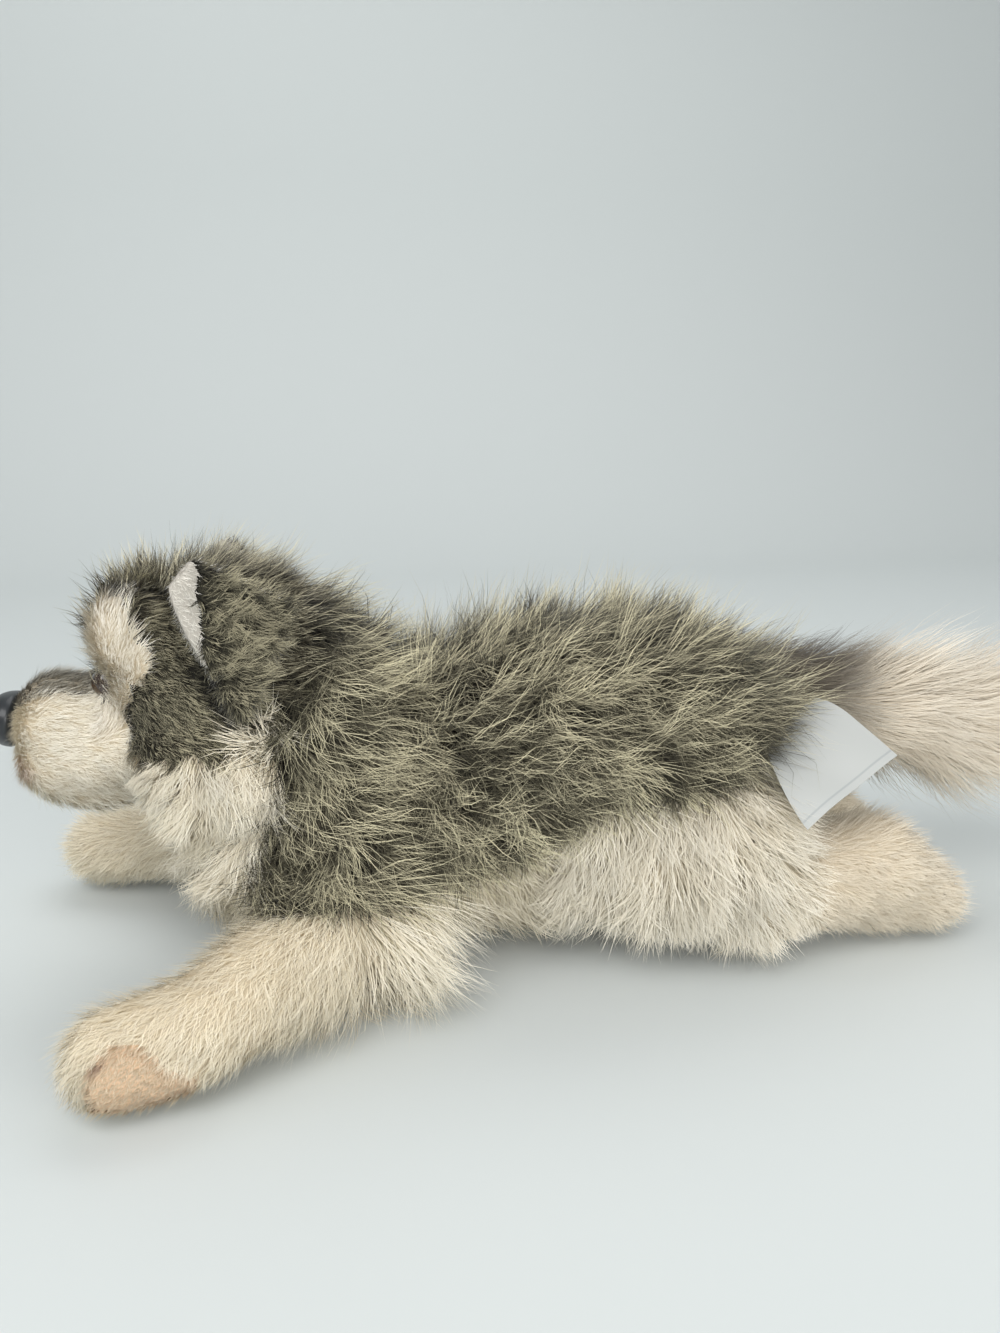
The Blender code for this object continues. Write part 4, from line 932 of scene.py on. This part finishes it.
def split_skin(mesh):
    """The names of the panels, the panel of each face, and each point's comb and its pile's
    length in metres."""
    names = list(PILES)
    tree, owners = panel_finder(names)
    spots, normals = points_of(mesh), normals_of(mesh)
    panels = []
    for spot, normal in zip(spots, normals):
        found = tree.find_nearest(asked_place(spot, normal))
        panel = names[owners[found[2]]]
        if panel.startswith("brow") and abs(spot[1]) < BROW_INNER:
            panel = "crown"
        if panel == "belly" and (Vector(spot) - CHEST_TUFT[spot[1] > 0]).length < CHEST_REACH:
            panel = "chest"
        panels.append(panel)
    comb = [heading_on(p, Vector(s)).normalized() for p, s in zip(panels, spots)]
    comb = spread_values(mesh, np.array(comb, dtype=np.float32), 6)
    ears = ear_tree()
    depth = [[depth_on(p, Vector(s), ears) * PILES[p].length * MM] for p, s in zip(panels, spots)]
    depth = spread_values(mesh, np.array(depth, dtype=np.float32), 3)[:, 0]
    raised = np.array([[p.startswith("front_pad")] for p in panels], dtype=np.float32)
    spots = spots + normals * spread_values(mesh, raised, 2) * PAD_RISE
    mesh.vertices.foreach_set("co", spots.ravel())
    mesh.update()
    order = {name: number for number, name in enumerate(names)}
    number = np.array([order[p] for p in panels])
    owner = [int(np.bincount(number[list(face.vertices)]).argmax()) for face in mesh.polygons]
    return names, np.array(owner), comb, depth


def patch_of(mesh, chosen, comb, depth, name):
    """The chosen faces as a mesh of their own, with the comb and depth attributes."""
    patch = mesh.copy()
    patch.name = name
    patch.attributes.new("comb", "FLOAT_VECTOR", "POINT").data.foreach_set("vector", comb.ravel())
    patch.attributes.new("depth", "FLOAT", "POINT").data.foreach_set("value", depth)
    body = bmesh.new()
    body.from_mesh(patch)
    body.faces.ensure_lookup_table()
    gone = [f for f, keep in zip(body.faces, chosen) if not keep]
    bmesh.ops.delete(body, geom=gone, context="FACES")
    body.to_mesh(patch)
    body.free()
    return patch


def own(piece, nodes):
    """Attaches the piece to the frame's root body and hides the CAD nodes it stands for."""
    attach(piece, "root")
    if nodes:
        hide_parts(*nodes)
    return piece


def make_body():
    """The stuffed skin of head, trunk and legs, and the fur of each panel on it."""
    skin = stuffed("body_skin", body_forms, BELLY_PILE * 0.6)
    names, owner, comb, depth = split_skin(skin)
    for seed, name in enumerate(names):
        pile = PILES[name]
        share = depth / (pile.length * MM)
        patch = patch_of(skin, owner == seed, comb, share, name + "_patch")
        if pile.under:
            low = pile.undercoat()
            wool = grow(name + "_undercoat", patch.copy(), low, seed + 101, LOOKS[low.look])
            own(wool, [])
        fur = grow(name + "_fur", patch, pile, seed + 1, LOOKS[pile.look])
        own(fur, pile.nodes)
    for kind in ("dark", "cream", "peach"):
        skin.materials.append(BACKING[kind])
    kinds = [0 if n.startswith(DARK_PARTS) else 2 if n.startswith("front_pad") else 1 for n in names]
    skin.polygons.foreach_set("material_index", np.array(kinds)[owner].astype(np.int32))
    skin.shade_smooth()
    cloth = placed("body_skin", skin)
    reduce = cloth.modifiers.new("reduced", "DECIMATE")
    reduce.ratio = SKIN_TRIANGLES / (2 * len(skin.polygons))
    cloth.data = evaluated(cloth)
    cloth.modifiers.clear()
    own(cloth, ["stuffing"])


def make_tail():
    """The tail's core and its long fur, which is fullest behind the middle."""
    core = stuffed("tail_skin", tail_forms, BELLY_PILE)
    x = points_of(core)[:, 0]

    def past(low, high):
        """0 where x is low and 1 where it is high, in mm."""
        return np.clip((x - low * MM) / ((high - low) * MM), 0, 1)

    comb = np.tile(np.array([1, 0, -0.12], dtype=np.float32), (len(x), 1))
    comb[:, 2] -= 0.4 * past(120, 220)
    root = 0.5 + 0.5 * past(TAIL_ROOT.x / MM, 164)
    full = past(110, 140) * (1 - past(178, 208))
    depth = (root * (1 + 0.35 * full) * (1 - 0.3 * past(200, 215))).astype(np.float32)
    patch = patch_of(core, np.ones(len(core.polygons), bool), comb, depth, "tail_patch")
    fur = grow("tail_fur", patch, TAIL_PILE, 41, LOOKS["tail"])
    own(fur, ["tail"])
    core.materials.append(BACKING["cream"])
    core.shade_smooth()
    cloth = own(placed("tail_skin", core), [])


# Ears

EAR_LOW = HEAD + Vector((9, 41, -8)) * MM
EAR_TOP = HEAD + Vector((25.08, 23, 24.42)) * MM
EAR_TIP = HEAD + Vector((-7, 38, 43.5)) * MM
EAR_CUT = 0.85
EAR_DROP = {-1: Vector(), 1: Vector((1, 0, -5)) * MM}
EAR_STEPS = 36
EAR_LIFT = 4 * MM
EAR_RIM = 6.5 * MM
EAR_BULGE = 5
EAR_HOLLOW = 4 * MM
EAR_SHIFT = 2.5 * MM
EAR_THICKNESS = 4.4 * MM


def ear_point(u, v):
    """A point of the right ear's cloth: v runs from its seam to its tip, and u from its free
    front edge to its back edge."""
    front, back = EAR_LOW.lerp(EAR_TIP, v), EAR_TOP.lerp(EAR_TIP, v)
    outwards = (EAR_LOW + EAR_TIP) / 2 - EAR_TOP
    front += outwards.normalized() * EAR_BULGE * MM * math.sin(math.pi * v ** 1.5)
    hollow = EAR_HOLLOW * math.sin(math.pi * u) * (1 - v * 0.5)
    return front.lerp(back, u) + Vector((-EAR_SHIFT, hollow, EAR_SHIFT))


def ear_grid():
    return [[ear_point(i / EAR_STEPS, j / EAR_STEPS * EAR_CUT) for i in range(EAR_STEPS + 1)]
            for j in range(EAR_STEPS + 1)]


def ear_tree():
    """A tree of the right ear's cloth, to find how near the head's fur is to it."""
    spots = [p for row in ear_grid() for p in row]
    wide = EAR_STEPS + 1
    faces = [(j * wide + i, j * wide + i + 1, (j + 1) * wide + i + 1, (j + 1) * wide + i)
             for j in range(EAR_STEPS) for i in range(EAR_STEPS)]
    return BVHTree.FromPolygons(spots, faces)


def make_ear(side):
    """A soft ear of two cloths: the grizzled outside and the cream lining, rolled at its edge."""
    name = "left" if side < 0 else "right"
    body = bmesh.new()
    drop = EAR_DROP[side]
    rows = [[body.verts.new((p.x + drop.x, side * (p.y + EAR_LIFT), p.z + drop.z)) for p in row]
            for row in ear_grid()]
    for lower, upper in zip(rows, rows[1:]):
        for i in range(EAR_STEPS):
            body.faces.new((lower[i], lower[i + 1], upper[i + 1], upper[i]))
    body.normal_update()
    facing = sum((f.normal * f.calc_area() for f in body.faces), Vector())
    if facing.y * side < 0:
        bmesh.ops.reverse_faces(body, faces=body.faces)
    mesh = bpy.data.meshes.new("ear_" + name)
    body.to_mesh(mesh)
    body.free()
    obj = placed("ear_skin_" + name, mesh)
    thick = obj.modifiers.new("plies", "SOLIDIFY")
    thick.thickness = EAR_THICKNESS
    thick.offset = -0.2
    soft = obj.modifiers.new("softened", "SMOOTH")
    soft.factor = 0.5
    soft.iterations = 14
    obj.data = evaluated(obj)
    obj.modifiers.clear()
    skin = obj.data
    normals = np.array([p.normal for p in skin.polygons])
    middles = np.array([p.center for p in skin.polygons])
    outside = normals[:, 1] * side > 0.1
    rim = [(ear_point(0, i / 60 * EAR_CUT), min(1, max(0, (i / 60 - 0.3) / 0.5))) for i in range(61)]
    rim += [(ear_point(i / 10, EAR_CUT), 1) for i in range(1, 4)]

    def past_rim(spot):
        """How far a spot of the ear lies behind the rim, where the lining shows."""
        seen = Vector((spot[0], spot[1] * side - EAR_LIFT, spot[2])) - drop
        return min((seen - p).length - EAR_RIM * share for p, share in rim)

    outside &= np.array([past_rim(middle) >= 0 for middle in middles])
    comb = np.tile(np.array([0.7, 0, -0.9], dtype=np.float32), (len(skin.vertices), 1))
    depth = [0.65 + 0.35 * share_between(past_rim(v.co), 0, 6) for v in skin.vertices]
    depth = np.array(depth, dtype=np.float32)
    seed = 50 if side < 0 else 60
    outer = patch_of(skin, outside, comb, depth, "ear_patch")
    fur = grow(f"ear_{name}_fur", outer, EAR_PILE, seed, LOOKS["ear"])
    own(fur, [f"ear_{name}"])
    inner = patch_of(skin, ~outside, comb, depth, "lining_patch")
    fur = grow(f"ear_lining_{name}_fur", inner, LINING_PILE, seed + 1, LOOKS["lining"])
    own(fur, [f"ear_lining_{name}"])
    skin.materials.append(BACKING["dark"])
    skin.materials.append(BACKING["lining"])
    skin.polygons.foreach_set("material_index", (~outside).astype(np.int32))
    skin.shade_smooth()
    own(obj, [])


# Nose, eyes and label


def plastic(name, colour, roughness, coat):
    made, g, shader = new_material(name)
    place = g.term("ShaderNodeTexCoord", "Object")
    grain = g.term("ShaderNodeTexNoise", "Fac", None, {"Vector": place, "Scale": 400.0, "Detail": 3.0})
    g.feed(shader.inputs["Base Color"], (*colour, 1))
    g.feed(shader.inputs["Roughness"], (grain - 0.5) * 0.12 + roughness)
    shader.inputs["Coat Weight"].default_value = coat
    shader.inputs["Coat Roughness"].default_value = 0.12
    return made


def merged(node):
    """A plain copy of a CAD node's mesh with its doubles merged."""
    body = bmesh.new()
    body.from_mesh(NODES[node].data)
    bmesh.ops.remove_doubles(body, verts=body.verts, dist=0.01 * MM)
    bmesh.ops.recalc_face_normals(body, faces=body.faces)
    mesh = bpy.data.meshes.new(node)
    body.to_mesh(mesh)
    body.free()
    return mesh


def make_nose():
    """A domed nose, wider at the top and flat behind, with two nostrils and a groove."""
    body = bmesh.new()
    bmesh.ops.create_icosphere(body, subdivisions=4, radius=1)
    for vertex in body.verts:
        x, y, z = vertex.co
        wide = 1 + 0.16 * z
        nostrils = sum(math.exp(-((y - s * 0.5) ** 2 + (z + 0.28) ** 2) / 0.035) for s in (-1, 1))
        groove = math.exp(-(y ** 2) / 0.006) * max(0, 0.1 - z)
        dent = 0.16 * nostrils + 0.08 * groove
        depth = x * 0.35 if x > 0 else x * (1 - dent)
        vertex.co = (depth * NOSE_SIZE.x, y * wide * NOSE_SIZE.y / 2, z * NOSE_SIZE.z / 2)
    turn = Matrix.Rotation(NOSE_TURN, 4, "Y")
    bmesh.ops.transform(body, matrix=Matrix.Translation(NOSE_SPOT) @ turn, verts=body.verts)
    mesh = bpy.data.meshes.new("nose_button")
    body.to_mesh(mesh)
    body.free()
    mesh.materials.append(plastic("nose_black", from_srgb(26, 30, 34), 0.42, 0.3))
    mesh.shade_smooth()
    own(placed("nose_button", mesh), ["nose"])


def make_eye(side_name, material):
    """A domed eye button, rounder than its CAD node and pressed into the fur."""
    obj = placed("eye_button_" + side_name, merged("eye_" + side_name))
    side = -1 if side_name == "left" else 1
    inwards = Vector((0.93, -side * 0.3, -0.2)).normalized() * EYE_SINK
    obj.data.transform(Matrix.Translation(inwards))
    obj.data.materials.clear()
    obj.data.materials.append(material)
    round_off = obj.modifiers.new("rounded", "SUBSURF")
    round_off.levels = round_off.render_levels = 2
    obj.data = evaluated(obj)
    obj.modifiers.clear()
    obj.data.shade_smooth()
    own(obj, ["eye_" + side_name])


def make_label():
    """The blank folded satin label in the seam over the left hip."""
    seam_x = TRUNK_CENTRE_X + TRUNK_LENGTH / 2 + 5 * MM
    seam_top = Vector((seam_x, -TRUNK_WIDTH * 0.32, LABEL_SEAM_Z))
    down = LABEL_DOWN.normalized()
    facing = down.cross(LABEL_OUT.normalized()).normalized()
    out = facing.cross(down)
    body = bmesh.new()
    rows = []
    across, deep = 32, 26
    for j in range(deep + 1):
        reach = -LABEL_SEWN + (LABEL_LENGTH + LABEL_SEWN) * j / deep
        gather = 1 - 0.3 * max(0, 1 - reach / LABEL_LENGTH) ** 1.5
        curl = 3 * MM * max(0, reach / LABEL_LENGTH) ** 2
        sink = 4 * MM * max(0, 1 - reach / (12 * MM)) ** 2
        row = []
        for i in range(across + 1):
            share = i / across
            spot = seam_top + down * LABEL_WIDTH * share * gather + out * reach
            bow = 1.5 * MM * math.sin(math.pi * share)
            ripple = 0.5 * MM * math.sin(share * 9 + j * 0.16) * j / deep
            row.append(body.verts.new(spot - facing * (curl + sink - bow + ripple + 1.2 * MM)))
        rows.append(row)
    for lower, upper in zip(rows, rows[1:]):
        for i in range(across):
            body.faces.new((lower[i], lower[i + 1], upper[i + 1], upper[i]))
    mesh = bpy.data.meshes.new("label")
    body.to_mesh(mesh)
    body.free()
    grid = mesh.uv_layers.new(name="cloth")
    for loop, corner in zip(mesh.loops, grid.data):
        row, column = divmod(loop.vertex_index, across + 1)
        corner.uv = (column / across, row / deep)
    label = placed("label", mesh)
    thick = label.modifiers.new("plies", "SOLIDIFY")
    thick.thickness = 0.5 * MM
    thick.offset = 0
    label.data = evaluated(label)
    label.modifiers.clear()
    label.data.shade_smooth()
    label.data.set_sharp_from_angle(angle=math.radians(50))
    label.data.materials.append(satin())
    own(label, ["care_label"])


def satin():
    """White woven satin with a fine rib and a stitched hem line."""
    made, g, shader = new_material("label_satin")
    place = g.add("ShaderNodeSeparateXYZ", None, {0: g.term("ShaderNodeUVMap", 0, {"uv_map": "cloth"})})
    across, down = Term(g, place.outputs[0]), Term(g, place.outputs[1])
    rib = g.maths("SINE", across * 900.0) * 0.5 + 0.5
    hem = 1 - g.ease(g.maths("ABSOLUTE", down - 0.93), 0.004, 0.014)
    colour = g.blend(rib * 0.12, from_srgb(178, 180, 177), from_srgb(165, 168, 166))
    colour = g.blend(hem * 0.5, colour, from_srgb(140, 145, 147))
    g.feed(shader.inputs["Base Color"], colour)
    g.feed(shader.inputs["Roughness"], rib * 0.08 + 0.38)
    height = rib * 0.3 + (1 - hem)
    bump = g.add("ShaderNodeBump", None, {"Strength": 0.25, "Distance": 0.1 * MM, "Height": height})
    g.feed(shader.inputs["Normal"], bump.outputs[0])
    shader.inputs["Sheen Weight"].default_value = 0.2
    return made


# Stage, lights and camera


STAGE_FRONT = -2.5
STAGE_BACK = 0.75
STAGE_CURVE = 0.5
STAGE_TOP = 3.0
STAGE_SIDE = 3.5
CAMERA_YAW = math.radians(10)
CAMERA_PITCH = math.radians(15)
CAMERA_HEIGHT = 190 * MM
CAMERA_DISTANCE = 337 * MM


def make_stage():
    """A pale floor that curves up into a wall."""
    made, _, shader = new_material("stage")
    shader.inputs["Base Color"].default_value = (*from_srgb(209, 214, 213), 1)
    shader.inputs["Roughness"].default_value = 0.7
    body = bmesh.new()
    profile = [(STAGE_FRONT, 0), (STAGE_BACK, 0)]
    steps = 24
    for i in range(1, steps + 1):
        turn = math.pi / 2 * i / steps
        profile.append((STAGE_BACK + STAGE_CURVE * math.sin(turn), STAGE_CURVE * (1 - math.cos(turn))))
    profile.append((STAGE_BACK + STAGE_CURVE, STAGE_TOP))
    rows = [[body.verts.new((x, y, z)) for x in (-STAGE_SIDE, STAGE_SIDE)] for y, z in profile]
    for lower, upper in zip(rows, rows[1:]):
        body.faces.new((lower[0], lower[1], upper[1], upper[0]))
    mesh = bpy.data.meshes.new("stage")
    body.to_mesh(mesh)
    body.free()
    mesh.materials.append(made)
    mesh.shade_smooth()
    placed("stage", mesh)


def area_light(name, place, target, size, watts, colour=(1, 1, 1)):
    light = bpy.data.lights.new(name, "AREA")
    light.shape = "RECTANGLE"
    light.size, light.size_y = size
    light.energy = watts
    light.color = colour
    obj = bpy.data.objects.new(name, light)
    obj.location = place
    obj.rotation_mode = "QUATERNION"
    obj.rotation_quaternion = (Vector(target) - Vector(place)).to_track_quat("-Z", "Y")
    SCENE.collection.objects.link(obj)


def make_lights():
    area_light("key", (-0.5, -0.8, 1.2), (0, 0, 0.05), (1.2, 0.9), 13.5)
    area_light("fill", (0.5, -1.3, 0.5), (0, 0, 0.06), (1.2, 0.9), 11, (1.0, 0.99, 0.97))
    area_light("back", (0.2, 0.6, 1.3), (0, 0, 0.08), (1.4, 0.7), 4.6)
    world = bpy.data.worlds.new("studio")
    world.use_nodes = True
    world.node_tree.nodes["Background"].inputs["Color"].default_value = (0.9, 0.93, 0.95, 1)
    world.node_tree.nodes["Background"].inputs["Strength"].default_value = 0.47
    SCENE.world = world
    SCENE.view_settings.view_transform = "Standard"


def make_camera():
    data = bpy.data.cameras.new("camera")
    data.lens = 27.0
    data.sensor_width = 36.0
    data.clip_start = 0.01
    camera = bpy.data.objects.new("camera", data)
    level = Vector((math.sin(CAMERA_YAW), math.cos(CAMERA_YAW), 0))
    camera.location = Vector((0, 0, CAMERA_HEIGHT)) - level * CAMERA_DISTANCE
    camera.rotation_mode = "QUATERNION"
    aim = level * math.cos(CAMERA_PITCH) - Vector((0, 0, math.sin(CAMERA_PITCH)))
    camera.rotation_quaternion = aim.to_track_quat("-Z", "Y")
    SCENE.collection.objects.link(camera)
    SCENE.camera = camera


make_body()
make_tail()
for which in (-1, 1):
    make_ear(which)
make_nose()
eye_brown = plastic("eye_brown", from_srgb(52, 34, 22), 0.1, 1.0)
for which in ("left", "right"):
    make_eye(which, eye_brown)
make_label()
for template in RIBBONS.values():
    bpy.data.objects.remove(template, do_unlink=True)
make_stage()
make_lights()
make_camera()
